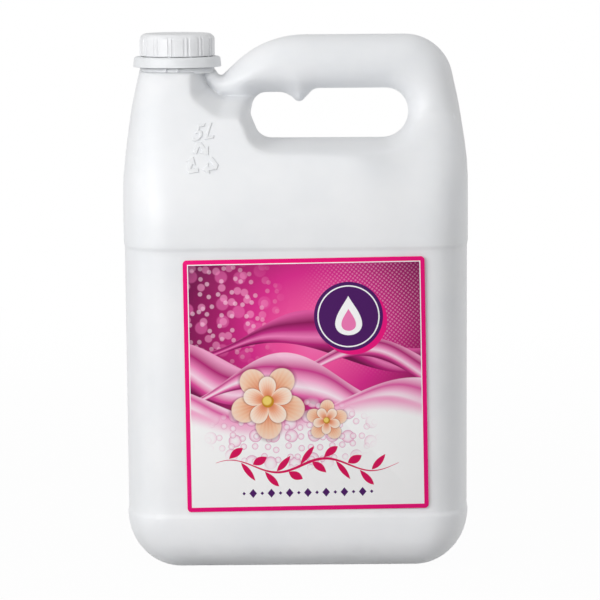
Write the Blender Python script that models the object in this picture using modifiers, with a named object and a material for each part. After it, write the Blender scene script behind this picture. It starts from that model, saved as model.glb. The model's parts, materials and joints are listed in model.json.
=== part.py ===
# Refill pack of liquid hand soap: a blow moulded 5 litre can with its handle, a
# screw cap with its sealing wad, the tamper evident ring, a label and the soap.
# Lengths are millimetres, the front looks along -Y, the base stands on z = 0.

import math

import bmesh
import bpy
import numpy as np
from mathutils import Matrix, Vector
from mathutils.geometry import delaunay_2d_cdt

MM = 0.001
FIT_GAP = 0.3          # between pieces that touch on the real pack
WALL = 1.2             # blown wall
PINCHED_WALL = 2.6     # thicker where the mould pinches the shoulder and handle

# Can, seen from the front
BODY_WIDTH = 191.4
BASE_WIDTH = 188.4
BODY_DEPTH = 132.0
SHOULDER_Z = 214.0     # the sides lean in from here
BASE_ROUND = 30.0      # lower corners of the outline
BASE_TRIM = 1.0        # depth of rounding that is flattened into the foot
PLATEAU_Z = 271.0      # flat top under the collar
PLATEAU_ROUND = 4.0
TOWER_TOP_DEPTH = 50.0
NECK_INSET = 30.5      # widest left side to neck axis

# Handle
HANDLE_RISE = 20.2     # above the plateau
HANDLE_BAR = 29.9      # thickness of the bar, seen from the front
HANDLE_DEPTH = 35.0
HANDLE_LEG = 32.8      # widest right side to the hole
HANDLE_ROUND = 27.0
HANDLE_SWEEP = 55.0
NOTCH_X = 23.9         # neck axis to the notch between collar and handle
HOLE_WIDTH = 87.2
HOLE_HEIGHT = 27.8
FINGER_STOP = 7.0      # how far the stop hangs into the hole
WEB_DEPTH = 20.0
GROOVE_DEPTH = 2.2     # between the web and the root of the handle
GROOVE_WIDTH = 1.8
THROAT_LENGTH = 15.0   # the skin swells round the neck's bore over this height

# Rounding of the wall towards the outline
BODY_CORNER = 33.0
BODY_POWER = 3.3       # of the superellipse, flatter in front than an arc
TOWER_CORNER = 23.0
RIM_CORNER = 6.0
LINE_RUN = 60.0        # the crease and root lines run this far past the can

# Label panel, a shallow recess all round
PANEL_BOTTOM = 30.0
PANEL_TOP = 176.5
PANEL_STEP = 1.0
PANEL_STEP_HEIGHT = 3.0

# Base push-up
DOME_LENGTH = 132.0
DOME_WIDTH = 50.0
DOME_RISE = 4.0
DOME_SINK = 0.7        # its middle lies below the foot, so the foot cuts it cleanly

# Neck finish
NECK_BORE = 31.2
NECK_ROOT = 34.6
NECK_HEIGHT = 17.9     # plateau to sealing land
COLLAR_DIAMETER = 43.0
COLLAR_HEIGHT = 1.5
BEAD_DIAMETER = 39.2
BEAD_HEIGHT = 1.4
LUG_WIDTH = 1.1
LUG_PROUD = 0.9
LUG_ANGLES = (-106.5, -88.7, 73.5, 91.3)

# Thread, right handed
THREAD_PITCH = 4.0
THREAD_DEPTH = 1.4
THREAD_TURNS = 1.7
THREAD_FOOT = 1.9
THREAD_CREST = 0.9
THREAD_CLEARANCE = 0.45

# Cap, ring, wad
CAP_DIAMETER = 41.8
CAP_HEIGHT = 13.5
CAP_TOP_WALL = 1.6
CAP_ROUND = 3.0
CAP_PADS = 15
PAD_PROUD = 0.45
RING_DIAMETER = 49.0
RING_HEIGHT = 5.7
RING_ROUND = 1.6
RING_WALL = 1.5
WAD_THICKNESS = 1.2
WAD_DIAMETER = 36.8

# Label and contents
LABEL_WIDTH = 133.0
LABEL_HEIGHT = 139.6
LABEL_X = 4.4
LABEL_Z = 101.6
LABEL_TILT = 0.7
LABEL_CORNER = 2.2
LABEL_THICKNESS = 0.2
FILL_Z = 232.0

# Heights and places that follow from the sizes above
LEFT_X = -BODY_WIDTH / 2
RIGHT_X = BODY_WIDTH / 2
NECK_X = LEFT_X + NECK_INSET
HANDLE_TOP = PLATEAU_Z + HANDLE_RISE
HOLE_TOP = HANDLE_TOP - HANDLE_BAR
HOLE_BOTTOM = HOLE_TOP - HOLE_HEIGHT
HOLE_RIGHT = RIGHT_X - HANDLE_LEG
HOLE_LEFT = HOLE_RIGHT - HOLE_WIDTH
COLLAR_TOP = PLATEAU_Z + COLLAR_HEIGHT
RING_BOTTOM = COLLAR_TOP + FIT_GAP
RING_TOP = RING_BOTTOM + RING_HEIGHT
CAP_BOTTOM = RING_TOP + FIT_GAP
NECK_TOP = PLATEAU_Z + NECK_HEIGHT
WAD_BOTTOM = NECK_TOP + FIT_GAP
THREAD_START = NECK_TOP - 1.4 - THREAD_TURNS * THREAD_PITCH
CAP_BORE = NECK_ROOT + 2 * (THREAD_DEPTH + THREAD_CLEARANCE)
NECK_STEPS = 40        # sides of the turned neck


def blend(low, high, share):
    return low + (high - low) * share


def ease(start, stop, value):
    share = np.clip((value - start) / (stop - start), 0, 1)
    return share * share * (3 - 2 * share)


def soft_positive(value, softness):
    """Value where it is above zero, rounded over the softness around zero."""
    return 0.5 * (value + np.sqrt(value * value + softness * softness))


def soft_max(one, other, softness):
    return other + soft_positive(one - other, softness)


def rounding(distance, radius, power):
    """Share of full depth at a distance from the outline: a quarter superellipse."""
    left = np.clip(1 - distance / radius, 0, 1)
    return (1 - left**power) ** (1 / power)


def rounded_path(corners, arc_step, closed):
    """Points of a path whose corners (x, z, radius) are arcs."""
    path = []
    count = len(corners)
    for index, (x, z, radius) in enumerate(corners):
        here = np.array((x, z))
        if not closed and index in (0, count - 1):
            path.append(here)
            continue
        before = np.array(corners[index - 1][:2])
        after = np.array(corners[(index + 1) % count][:2])
        way_in = (here - before) / np.linalg.norm(here - before)
        way_out = (after - here) / np.linalg.norm(after - here)
        turn = math.atan2(way_in[0] * way_out[1] - way_in[1] * way_out[0], way_in @ way_out)
        reach = radius * math.tan(abs(turn) / 2)
        start = here - way_in * reach
        to_middle = np.array((-way_in[1], way_in[0])) * math.copysign(radius, turn)
        middle = start + to_middle
        steps = max(1, math.ceil(abs(math.degrees(turn)) / arc_step))
        for step in range(steps + 1):
            angle = turn * step / steps
            spoke = -to_middle
            path.append(
                middle
                + np.array((
                    spoke[0] * math.cos(angle) - spoke[1] * math.sin(angle),
                    spoke[0] * math.sin(angle) + spoke[1] * math.cos(angle),
                ))
            )
    return np.array(path)


def split_run(start, end, longest):
    """Points of a straight run without its end, closer together at the shoulder."""
    middle = (start + end) / 2
    limit = longest * (0.45 if middle[1] > PANEL_TOP - 10 else 1)
    if np.linalg.norm(end - start) <= limit:
        return [start]
    return split_run(start, middle, longest) + split_run(middle, end, longest)


def split_long(path, longest, closed):
    """The same path with its long straight runs divided."""
    ends = np.roll(path, -1, axis=0) if closed else path[1:]
    points = [] if closed else [path[-1]]
    for start, end in reversed(list(zip(path, ends))):
        points = split_run(start, end, longest) + points
    return np.array(points)


def inward(path, closed):
    """Unit normals to the left of the path, at its points."""
    if closed:
        way = np.roll(path, -1, axis=0) - np.roll(path, 1, axis=0)
    else:
        way = np.gradient(path, axis=0)
    way /= np.linalg.norm(way, axis=1)[:, None]
    return np.stack([-way[:, 1], way[:, 0]], axis=1)


def distance_to(points, path, signed=False):
    """Distance of each point to an open path; signed is positive on its left."""
    start = path[:-1]
    way = path[1:] - start
    offset = points[:, None, :] - start[None]
    share = np.clip((offset * way).sum(2) / (way * way).sum(1), 0, 1)
    gap = offset - share[..., None] * way
    length = np.sqrt((gap * gap).sum(2))
    nearest = length.argmin(axis=1)
    rows = np.arange(len(points))
    found = length[rows, nearest]
    if not signed:
        return found
    side = way[nearest, 0] * offset[rows, nearest, 1] - way[nearest, 1] * offset[rows, nearest, 0]
    return np.where(side >= 0, found, -found)


def inside(points, path):
    """True for the points within a closed path."""
    ends = np.roll(path, -1, axis=0)
    found = np.zeros(len(points), bool)
    for (x0, z0), (x1, z1) in zip(path, ends):
        if z0 == z1:
            continue
        crosses = (z0 > points[:, 1]) != (z1 > points[:, 1])
        at_x = x0 + (points[:, 1] - z0) * (x1 - x0) / (z1 - z0)
        found ^= crosses & (points[:, 0] < at_x)
    return found


def can_outline():
    """Silhouette from the tower's top left, round the base and over the handle.

    The closing run from the last point to the first is the plateau."""
    return [
        (NECK_X - COLLAR_DIAMETER / 2 + 0.2, PLATEAU_Z, 0),
        (LEFT_X + 4.7, PLATEAU_Z - 21, 160),
        (LEFT_X, SHOULDER_Z, 160),
        (-BASE_WIDTH / 2, -BASE_TRIM, BASE_ROUND),
        (BASE_WIDTH / 2, -BASE_TRIM, BASE_ROUND),
        (RIGHT_X, SHOULDER_Z + 8, 120),
        (RIGHT_X - 4.6, HANDLE_TOP - 39, 120),
        (RIGHT_X - 12.9, HANDLE_TOP, HANDLE_ROUND),
        (NECK_X + 48.5, HANDLE_TOP, HANDLE_SWEEP),
        (NECK_X + NOTCH_X, PLATEAU_Z - 2.4, 2.0),
        (NECK_X + COLLAR_DIAMETER / 2 + 0.1, PLATEAU_Z, 0),
    ]


def hole_outline():
    """Hand hole with its finger stop, run round so that the can is on the left."""
    stop_x = HOLE_LEFT + 26.8
    left_top = HOLE_TOP - 2.0
    return [
        (HOLE_LEFT - 0.6, HOLE_BOTTOM + 13.8, 8),
        (HOLE_LEFT + 2.2, left_top, 5),
        (stop_x - 7.0, left_top, 7),
        (stop_x, left_top - FINGER_STOP + 0.4, 3.4),
        (stop_x + 8.2, HOLE_TOP, 6.5),
        (HOLE_RIGHT, HOLE_TOP, 0.45 * HOLE_HEIGHT),
        (HOLE_RIGHT, HOLE_BOTTOM, 0.53 * HOLE_HEIGHT),
        (HOLE_LEFT + 5.0, HOLE_BOTTOM, 9),
    ]


def crease_line():
    """Edge of the front panel: down the tower, then right under the hole."""
    return rounded_path(
        [
            (NECK_X + 5.4, PLATEAU_Z + LINE_RUN, 0),
            (NECK_X + 8.2, PLATEAU_Z - 14, 9),
            (NECK_X + 22.5, PLATEAU_Z - 24.6, 12),
            (HOLE_LEFT - 1.9, PLATEAU_Z - 25.2, 5),
            (HOLE_LEFT - 1.2, HOLE_BOTTOM + 1.8, 9),
            (HOLE_LEFT + 13.0, HOLE_BOTTOM - 5.4, 14),
            (HOLE_LEFT + 0.7 * HOLE_WIDTH, HOLE_BOTTOM - 7.6, 80),
            (RIGHT_X + LINE_RUN, HOLE_BOTTOM - 20, 0),
        ],
        12,
        closed=False,
    )


def root_line():
    """Lower edge of the handle where it grows out of the tower and the web."""
    return rounded_path(
        [
            (NECK_X + 11.6, PLATEAU_Z + LINE_RUN, 0),
            (NECK_X + 13.6, PLATEAU_Z - 5, 12),
            (NECK_X + 22.0, HOLE_TOP - 4.4, 10),
            (RIGHT_X + LINE_RUN, HOLE_TOP - 4.4, 0),
        ],
        12,
        closed=False,
    )


class CanSkin:
    """Half depth of the can at any place of its front view, for a wall inset."""

    def __init__(self, inset, arc_step, longest):
        self.inset = inset
        rim = rounded_path(can_outline(), arc_step, closed=False)
        rim = split_long(rim, longest, closed=False)
        hole = split_long(rounded_path(hole_outline(), arc_step, closed=True), longest, True)
        self.rim = rim + inward(rim, False) * inset
        self.rim[0] += (inset, 0)
        self.rim[-1] -= (inset, 0)
        self.rim[[0, -1], 1] = PLATEAU_Z - inset
        self.hole = hole + inward(hole, True) * inset
        self.crease = crease_line()
        self.root = root_line()

    def corner(self, points):
        """Radius and power of the wall's rounding towards the silhouette."""
        x, z = points.T
        lean = ease(SHOULDER_Z - 10, HOLE_TOP, z)
        handle = ease(NECK_X + 22, NECK_X + 34, x)
        radius = blend(BODY_CORNER, blend(TOWER_CORNER, HANDLE_BAR / 2, handle), lean)
        power = blend(BODY_POWER, blend(2.8, 2.1, handle), lean)
        return radius - self.inset, power

    def hole_corner(self, points):
        z = points[:, 1]
        return blend(RIM_CORNER, HANDLE_BAR / 2, ease(HOLE_BOTTOM + 7, HOLE_TOP, z)) - self.inset

    def front(self, z):
        """Half depth of the front panel: upright, then leaning back to the tower top."""
        rise = np.clip((z - SHOULDER_Z + 24) / (PLATEAU_Z - SHOULDER_Z + 24), 0, None)
        return blend(BODY_DEPTH / 2, TOWER_TOP_DEPTH / 2, rise**1.7)

    def half_depth(self, points):
        x, z = points.T
        pinched = ease(SHOULDER_Z - 20, HOLE_BOTTOM - 8, z)
        inset = self.inset * blend(1, PINCHED_WALL / WALL, pinched)
        past_crease = distance_to(points, self.crease, signed=True) + inset
        above_root = distance_to(points, self.root, signed=True) - inset
        fade = ease(HOLE_LEFT + 52, HOLE_RIGHT + 16, x)
        slope = blend(6.0, 1.0, fade)
        softness = blend(1.8, 18.0, fade)
        body = self.front(z) - slope * soft_positive(past_crease, softness)
        leg = ease(HOLE_RIGHT - 40, HOLE_RIGHT - 8, x)
        tube = np.maximum(ease(-1.5, 7, above_root), leg)
        handle = blend(WEB_DEPTH / 2, HANDLE_DEPTH / 2, tube)
        beside_neck = 1 - ease(NECK_X + 24, NECK_X + 46, x)
        groove = GROOVE_DEPTH * np.exp(-(((above_root + 0.8) / GROOVE_WIDTH) ** 2)) * beside_neck
        throat = np.sqrt(np.clip((NECK_ROOT / 2) ** 2 - (x - NECK_X) ** 2, 0, None))
        throat = throat * ease(PLATEAU_Z - THROAT_LENGTH, PLATEAU_Z - PLATEAU_ROUND, z)
        depth = soft_max(soft_max(body, handle - groove, 4.0), throat, 1.5) - inset
        radius, power = self.corner(points)
        depth = depth * rounding(distance_to(points, self.rim), radius, power)
        hole = np.vstack([self.hole, self.hole[:1]])
        depth = depth * rounding(distance_to(points, hole), self.hole_corner(points), 2.0)
        return depth * rounding(self.under_plateau(points), PLATEAU_ROUND, 4.0)

    def under_plateau(self, points):
        """Distance below the flat top of the tower; large beside it, at the handle."""
        beside = points[:, 0] > NECK_X + NOTCH_X
        return np.where(beside, HANDLE_TOP, PLATEAU_Z - self.inset - points[:, 1])


def offset_loops(skin, path, closed, turns):
    """Loops that follow an outline inwards, closer together where the wall turns."""
    normals = inward(path, closed)
    if closed:
        radius = skin.hole_corner(path)
        power = 2.0
        other = skin.rim
        own = np.vstack([path, path[:1]])
    else:
        radius, power = skin.corner(path)
        other = np.vstack([skin.hole, skin.hole[:1]])
        own = path
    loops = []
    for turn in turns:
        depth = radius * (1 - math.cos(math.radians(turn)) ** (2 / power))
        points = path + normals * np.broadcast_to(depth, len(path))[:, None]
        near = distance_to(points, own) > depth * 0.97
        clear = distance_to(points, other) > depth * 0.9
        loops.append((points, near & clear & (skin.under_plateau(points) > 0.3)))
    return loops


def can_half(skin, name, turns, grid, crease_steps, root_steps):
    """Front half of the can as an open mesh whose rim lies at y = 0."""
    points = []
    edges = []

    def add_path(path, kept, closed):
        first = len(points)
        index = {}
        for place in np.flatnonzero(kept):
            index[place] = first + len(index)
            points.append(path[place])
        last = len(path) if closed else len(path) - 1
        for place in range(last):
            after = (place + 1) % len(path)
            if place in index and after in index:
                edges.append((index[place], index[after]))

    rim_closed = skin.rim
    add_path(rim_closed, np.ones(len(rim_closed), bool), True)
    add_path(skin.hole, np.ones(len(skin.hole), bool), True)
    for points_in, kept in offset_loops(skin, skin.rim, False, turns):
        add_path(points_in, kept, False)
    for points_in, kept in offset_loops(skin, skin.hole, True, turns):
        add_path(points_in, kept, True)
    hole_ring = np.vstack([skin.hole, skin.hole[:1]])

    def free_of_rims(path, margin):
        return (
            inside(path, skin.rim)
            & ~inside(path, skin.hole)
            & (distance_to(path, skin.rim) > margin)
            & (distance_to(path, hole_ring) > margin)
            & (skin.under_plateau(path) > margin)
        )

    for line, offsets, last_x in (
        (skin.crease, crease_steps, HOLE_RIGHT + 18),
        (skin.root, root_steps, HOLE_LEFT + 4),
    ):
        fine = split_long(line, grid * 0.6, closed=False)
        normals = inward(fine, False)
        for offset in offsets:
            path = fine + normals * offset
            true = np.abs(np.abs(distance_to(path, line)) - abs(offset)) < 0.05
            kept = free_of_rims(path, 1.0) & true & (path[:, 0] < last_x)
            add_path(path, kept, False)
    half_step = PANEL_STEP_HEIGHT / 2
    row_heights = [skin.inset]
    for middle in (PANEL_BOTTOM, PANEL_TOP):
        row_heights += [middle - half_step, middle, middle + half_step]
    for z in row_heights:
        row_x = np.arange(-6, 7) * BODY_WIDTH / 10
        row = np.stack([row_x, np.full(13, z)], axis=1)
        add_path(row, np.ones(13, bool), False)
    for turn in turns[1:]:
        drop = PLATEAU_ROUND * (1 - math.cos(math.radians(turn)) ** 0.5)
        row_x = np.linspace(skin.rim[0, 0] + 2, skin.rim[-1, 0] - 2, 8)
        row = np.stack([row_x, np.full(8, PLATEAU_Z - skin.inset - drop)], axis=1)
        add_path(row, inside(row, skin.rim), False)
    taken = np.array(points)
    sparse = np.arange(grid, SHOULDER_Z - 20, grid * 0.87)
    dense = np.arange(SHOULDER_Z - 14, HANDLE_TOP, grid * 0.6)
    for number, z in enumerate(np.concatenate([sparse, dense])):
        pitch = grid * (0.8 if z > SHOULDER_Z - 20 else 1)
        row_x = np.arange(LEFT_X + pitch / 2 * (number % 2), RIGHT_X, pitch)
        path = np.stack([row_x, np.full(len(row_x), z)], axis=1)
        path = path[free_of_rims(path, 2.5)]
        if not len(path):
            continue
        gap = np.sqrt(((path[:, None] - taken[None]) ** 2).sum(2)).min(axis=1)
        near_row = np.minimum(abs(path[:, 1] - PANEL_BOTTOM), abs(path[:, 1] - PANEL_TOP))
        needed = grid * (0.52 if z > SHOULDER_Z - 20 else 1.2)
        path = path[(gap > needed) & (near_row > PANEL_STEP_HEIGHT)]
        points.extend(path)

    found = delaunay_2d_cdt([tuple(p) for p in points], edges, [], 0, 1e-4)
    flat = np.array([tuple(v) for v in found[0]])
    faces = np.array(found[2])
    middles = flat[faces].mean(axis=1)
    faces = faces[inside(middles, rim_closed) & ~inside(middles, skin.hole)]
    used = np.unique(faces)
    renumber = np.full(len(flat), -1)
    renumber[used] = np.arange(len(used))
    flat = flat[used]
    faces = renumber[faces]
    depth = skin.half_depth(flat)
    closed_rim = np.vstack([rim_closed, rim_closed[:1]])
    on_rim = np.minimum(distance_to(flat, closed_rim), distance_to(flat, hole_ring)) < 1e-3
    depth[on_rim] = 0
    depth[~on_rim] = np.maximum(depth[~on_rim], 0.05)
    x, z = flat.T
    step = ease(PANEL_BOTTOM - half_step, PANEL_BOTTOM + half_step, z)
    step = step * (1 - ease(PANEL_TOP - half_step, PANEL_TOP + half_step, z))
    x = x * (1 - 0.5 * PANEL_STEP / RIGHT_X * step)
    depth = depth * (1 - PANEL_STEP / (BODY_DEPTH / 2) * step)
    z = np.maximum(z, skin.inset)
    mesh = bpy.data.meshes.new(name)
    corners = np.stack([x, -depth, z], axis=1) * MM
    mesh.from_pydata(corners.tolist(), [], faces.tolist())
    return mesh


def new_object(name, mesh, group, place=(0, 0, 0)):
    item = bpy.data.objects.new(name, mesh)
    group.objects.link(item)
    item.location = [value * MM for value in place]
    return item


def applied(item):
    """Replaces an object's mesh with the one that its modifiers give."""
    bpy.context.view_layer.update()
    graph = bpy.context.evaluated_depsgraph_get()
    mesh = bpy.data.meshes.new_from_object(item.evaluated_get(graph))
    item.modifiers.clear()
    item.data = mesh
    return item


def mirrored(item):
    mirror = item.modifiers.new("both sides", "MIRROR")
    mirror.use_axis = (False, True, False)
    mirror.merge_threshold = 0.00001
    return applied(item)


def boolean(item, cutter, operation):
    cut = item.modifiers.new(operation.lower(), "BOOLEAN")
    cut.operation = operation
    cut.object = cutter
    cut.solver = "EXACT"
    cutter.hide_render = True
    cutter.display_type = "WIRE"
    return applied(item)


def turned(name, profile, steps, group, place=(0, 0, 0)):
    """Solid of revolution about Z of a profile (radius, z), top to bottom."""
    mesh = bpy.data.meshes.new(name)
    corners = [(radius * MM, 0, z * MM) for radius, z in profile]
    edges = [(index, index + 1) for index in range(len(profile) - 1)]
    if profile[0][0] > 0:
        edges.append((len(profile) - 1, 0))
    mesh.from_pydata(corners, edges, [])
    item = new_object(name, mesh, group, place)
    screw = item.modifiers.new("turned", "SCREW")
    screw.axis = "Z"
    screw.steps = steps
    screw.render_steps = steps
    screw.use_merge_vertices = True
    screw.merge_threshold = 0.00001
    return applied(item)


def loft(name, sections, closed_ends, group, place=(0, 0, 0)):
    """Skin through rings of equal counts, with its two ends filled."""
    count = len(sections[0])
    corners = [tuple(value * MM for value in point) for ring in sections for point in ring]
    faces = []
    for ring in range(len(sections) - 1):
        for side in range(count):
            after = (side + 1) % count
            low = ring * count
            high = low + count
            faces.append((low + side, low + after, high + after, high + side))
    if closed_ends:
        faces.append(tuple(range(count - 1, -1, -1)))
        last = (len(sections) - 1) * count
        faces.append(tuple(range(last, last + count)))
    mesh = bpy.data.meshes.new(name)
    mesh.from_pydata(corners, [], faces)
    return new_object(name, mesh, group, place)


def thread_ridge(name, foot_radius, depth, start_z, start_angle, group, place):
    """Right handed helical ridge, its ends tapered; a negative depth grows inwards."""
    steps = round(THREAD_TURNS * 24)
    run_out = 3
    bite = math.copysign(0.35, depth)
    sections = []
    for step in range(steps + 1):
        angle = start_angle + 2 * math.pi * THREAD_TURNS * step / steps
        middle = start_z + THREAD_PITCH * THREAD_TURNS * step / steps
        size = min(1, (step + 0.4) / run_out, (steps - step + 0.4) / run_out)
        foot = THREAD_FOOT / 2 * size
        crest = THREAD_CREST / 2 * size
        tip = foot_radius + depth * size
        ring = [
            (foot_radius - bite, middle - foot),
            (tip, middle - crest),
            (tip, middle + crest),
            (foot_radius - bite, middle + foot),
        ]
        if depth < 0:
            ring.reverse()
        sections.append([
            (radius * math.cos(angle), radius * math.sin(angle), z) for radius, z in ring
        ])
    item = loft(name, sections, True, group, place)
    bmesh_faces_out(item.data)
    return item


def bmesh_faces_out(mesh):
    work = bmesh.new()
    work.from_mesh(mesh)
    bmesh.ops.recalc_face_normals(work, faces=work.faces)
    work.to_mesh(mesh)
    work.free()


def box(name, size, place, turn, group):
    """Box turned about the neck axis, for a lug."""
    bpy.ops.mesh.primitive_cube_add(size=1)
    item = bpy.context.object
    item.name = name
    for owner in item.users_collection:
        owner.objects.unlink(item)
    group.objects.link(item)
    item.data.transform(scaling(size))
    item.location = [value * MM for value in place]
    item.rotation_euler = (0, 0, turn)
    return item


def scaling(size):
    return Matrix.Diagonal((size[0] * MM, size[1] * MM, size[2] * MM, 1))


def material(name, colour, roughness):
    finish = bpy.data.materials.new(name)
    finish.use_nodes = True
    shader = finish.node_tree.nodes["Principled BSDF"]
    shader.inputs["Base Color"].default_value = (*colour, 1)
    shader.inputs["Roughness"].default_value = roughness
    return finish


def finished(item, finish):
    item.data.materials.clear()
    item.data.materials.append(finish)
    item.data.shade_smooth()
    item.data.set_sharp_from_angle(angle=math.radians(32))
    return item


def make_bottle(parts, cutters, cavity):
    skin = CanSkin(0, 12, 45)
    turns = (14, 30, 48, 70)
    half = can_half(skin, "bottle", turns, 14.0, (-4.5, -1.3, 0.5, 2.4, 5.6), (-1.5, 1, 3.5, 6.5))
    bottle = mirrored(new_object("bottle", half, parts))
    root = NECK_ROOT / 2
    bead = BEAD_DIAMETER / 2
    collar = COLLAR_DIAMETER / 2
    bead_z = COLLAR_TOP + 3.0
    neck = turned(
        "neck",
        [
            (0, NECK_TOP),
            (root - 0.6, NECK_TOP),
            (root, NECK_TOP - 0.6),
            (root, bead_z + BEAD_HEIGHT + 1.0),
            (bead, bead_z + 0.5),
            (bead, bead_z),
            (root, bead_z - 0.4),
            (root, COLLAR_TOP),
            (collar - 0.5, COLLAR_TOP),
            (collar, COLLAR_TOP - 0.5),
            (collar, PLATEAU_Z - 1.3),
            (0, PLATEAU_Z - 1.3),
        ],
        NECK_STEPS,
        cutters,
        (NECK_X, 0, 0),
    )
    boolean(bottle, neck, "UNION")
    for number, angle in enumerate(LUG_ANGLES):
        turn = math.radians(angle)
        reach = collar + LUG_PROUD - 1.0
        place = (
            NECK_X + reach * math.cos(turn),
            reach * math.sin(turn),
            PLATEAU_Z + COLLAR_HEIGHT / 2 - 0.2,
        )
        lug = box(f"lug {number}", (2.0, LUG_WIDTH, COLLAR_HEIGHT + 0.4), place, turn, cutters)
        boolean(bottle, lug, "UNION")
    ridge = thread_ridge(
        "neck thread", root, THREAD_DEPTH, THREAD_START, 0.2, cutters, (NECK_X, 0, 0)
    )
    boolean(bottle, ridge, "UNION")
    boolean(bottle, cavity, "DIFFERENCE")
    bore = turned(
        "bore",
        [(0, NECK_TOP + 5), (NECK_BORE / 2, NECK_TOP + 5), (NECK_BORE / 2, PLATEAU_Z - 2.6), (0, PLATEAU_Z - 2.6)],
        NECK_STEPS,
        cutters,
        (NECK_X, 0, 0),
    )
    bore.rotation_euler = (0, 0, math.radians(180 / NECK_STEPS))
    boolean(bottle, bore, "DIFFERENCE")
    boolean(bottle, dome("dome", 0, cutters), "DIFFERENCE")
    return finished(bottle, material("white blown polyethylene", (0.86, 0.87, 0.89), 0.42))


def make_cavity(cutters):
    """The can's inside, one wall in from its skin and lifted over the push-up."""
    half = can_half(CanSkin(WALL, 18, 60), "cavity", (21, 45, 68), 18.0, (-3, 0.5, 4, 7.5), (-1.5, 1.5, 5))
    cavity = mirrored(new_object("cavity", half, cutters))
    return boolean(cavity, dome("dome over", WALL, cutters), "DIFFERENCE")


def dome(name, over, group):
    """Lens that pushes the base up, larger by a wall where it cuts the cavity."""
    bpy.ops.mesh.primitive_uv_sphere_add(segments=28, ring_count=8, radius=1)
    item = bpy.context.object
    item.name = name
    for owner in item.users_collection:
        owner.objects.unlink(item)
    group.objects.link(item)
    size = (DOME_LENGTH / 2 + over, DOME_WIDTH / 2 + over, DOME_RISE + DOME_SINK + over)
    item.data.transform(scaling(size))
    item.location.z = -DOME_SINK * MM
    return item


def make_soap(parts, cavity):
    """The contents: the cavity up to the fill level, just clear of the wall."""
    soap = new_object("liquid_soap", bpy.data.meshes.new("liquid_soap"), parts)
    work = bmesh.new()
    work.from_mesh(cavity.data)
    level = bmesh.ops.bisect_plane(
        work,
        geom=work.verts[:] + work.edges[:] + work.faces[:],
        plane_co=(0, 0, FILL_Z * MM),
        plane_no=(0, 0, 1),
        clear_outer=True,
    )
    rim = [edge for edge in level["geom_cut"] if isinstance(edge, bmesh.types.BMEdge)]
    bmesh.ops.contextual_create(work, geom=rim)
    bmesh.ops.triangulate(work, faces=work.faces)
    work.normal_update()
    for corner in work.verts:
        corner.co -= corner.normal * corner.calc_shell_factor() * FIT_GAP * MM
    work.to_mesh(soap.data)
    work.free()
    return finished(soap, material("pearly pink soap", (0.88, 0.35, 0.48), 0.12))


def cap_radius(angle, share):
    """Cap outline: wide raised pads, and a narrow rib between two grooves."""
    pitch = 2 * math.pi / CAP_PADS
    place = abs((angle / pitch + 0.5) % 1 - 0.5) * 2
    pad = 1 - min(1, max(0, (place - 0.56) / 0.1))
    rib = min(1, max(0, (place - 0.84) / 0.08))
    return CAP_DIAMETER / 2 - PAD_PROUD * (1 - max(pad, rib)) * share


def make_cap(parts, cutters):
    place = (NECK_X, 0, CAP_BOTTOM)
    marks = (0, 0.56, 0.66, 0.84, 0.92)
    pitch = 2 * math.pi / CAP_PADS
    shares = sorted({-mark for mark in marks if mark} | set(marks) | {1.0})
    front_phase = math.radians(-90 + 15.6) - pitch / 2
    angles = [
        pitch * (number + share / 2) for number in range(CAP_PADS) for share in shares
    ]
    levels = [(0.0, 1.0, 0.0), (CAP_HEIGHT - CAP_ROUND, 1.0, 0.0)]
    for turn in (30, 60, 90):
        bend = math.radians(turn)
        height = CAP_HEIGHT - CAP_ROUND * (1 - math.sin(bend))
        share = max(0.0, 1 - turn / 45)
        levels.append((height, share, CAP_ROUND * (1 - math.cos(bend))))
    sections = []
    for height, share, draw_in in levels:
        ring = []
        for angle in angles:
            radius = cap_radius(angle, share) - draw_in
            turn = angle + front_phase
            ring.append((radius * math.cos(turn), radius * math.sin(turn), height))
        sections.append(ring)
    cap = loft("cap", sections, True, parts, place)
    bore = CAP_BORE / 2
    inside_top = CAP_HEIGHT - CAP_TOP_WALL
    hollow = turned(
        "cap hollow",
        [(0, inside_top), (bore, inside_top), (bore, 0.6), (bore + 0.5, -1), (0, -1)],
        NECK_STEPS,
        cutters,
        place,
    )
    boolean(cap, hollow, "DIFFERENCE")
    start_z = THREAD_START + THREAD_PITCH / 2 - CAP_BOTTOM
    ridge = thread_ridge("cap thread", bore, -THREAD_DEPTH, start_z - 1.2, 0.2 - 1.885, cutters, place)
    boolean(cap, ridge, "UNION")
    return finished(cap, material("white moulded cap plastic", (0.88, 0.89, 0.90), 0.35))


def make_ring(parts):
    """Band left on the neck: a lip under the bead, a wide skirt outside."""
    outer = RING_DIAMETER / 2
    lip = BEAD_DIAMETER / 2 - 1.2
    clear = BEAD_DIAMETER / 2 + 0.45
    profile = [(clear, RING_TOP), (outer - 0.4 - RING_ROUND, RING_TOP)]
    for turn in (30, 60, 90):
        bend = math.radians(turn)
        profile.append((
            outer - 0.4 - RING_ROUND * (1 - math.sin(bend)),
            RING_TOP - RING_ROUND * (1 - math.cos(bend)),
        ))
    profile += [
        (outer, RING_BOTTOM + 0.4),
        (outer - 0.3, RING_BOTTOM),
        (outer - RING_WALL, RING_BOTTOM),
        (outer - RING_WALL, RING_BOTTOM + 1.6),
        (clear + 0.9, RING_BOTTOM + 1.6),
        (clear + 0.9, RING_BOTTOM),
        (lip, RING_BOTTOM),
        (lip, RING_BOTTOM + 1.6),
        (clear, RING_BOTTOM + 2.4),
    ]
    ring = turned("tamper_ring", profile, NECK_STEPS, parts, (NECK_X, 0, 0))
    return finished(ring, material("white moulded ring plastic", (0.88, 0.89, 0.90), 0.38))


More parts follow.
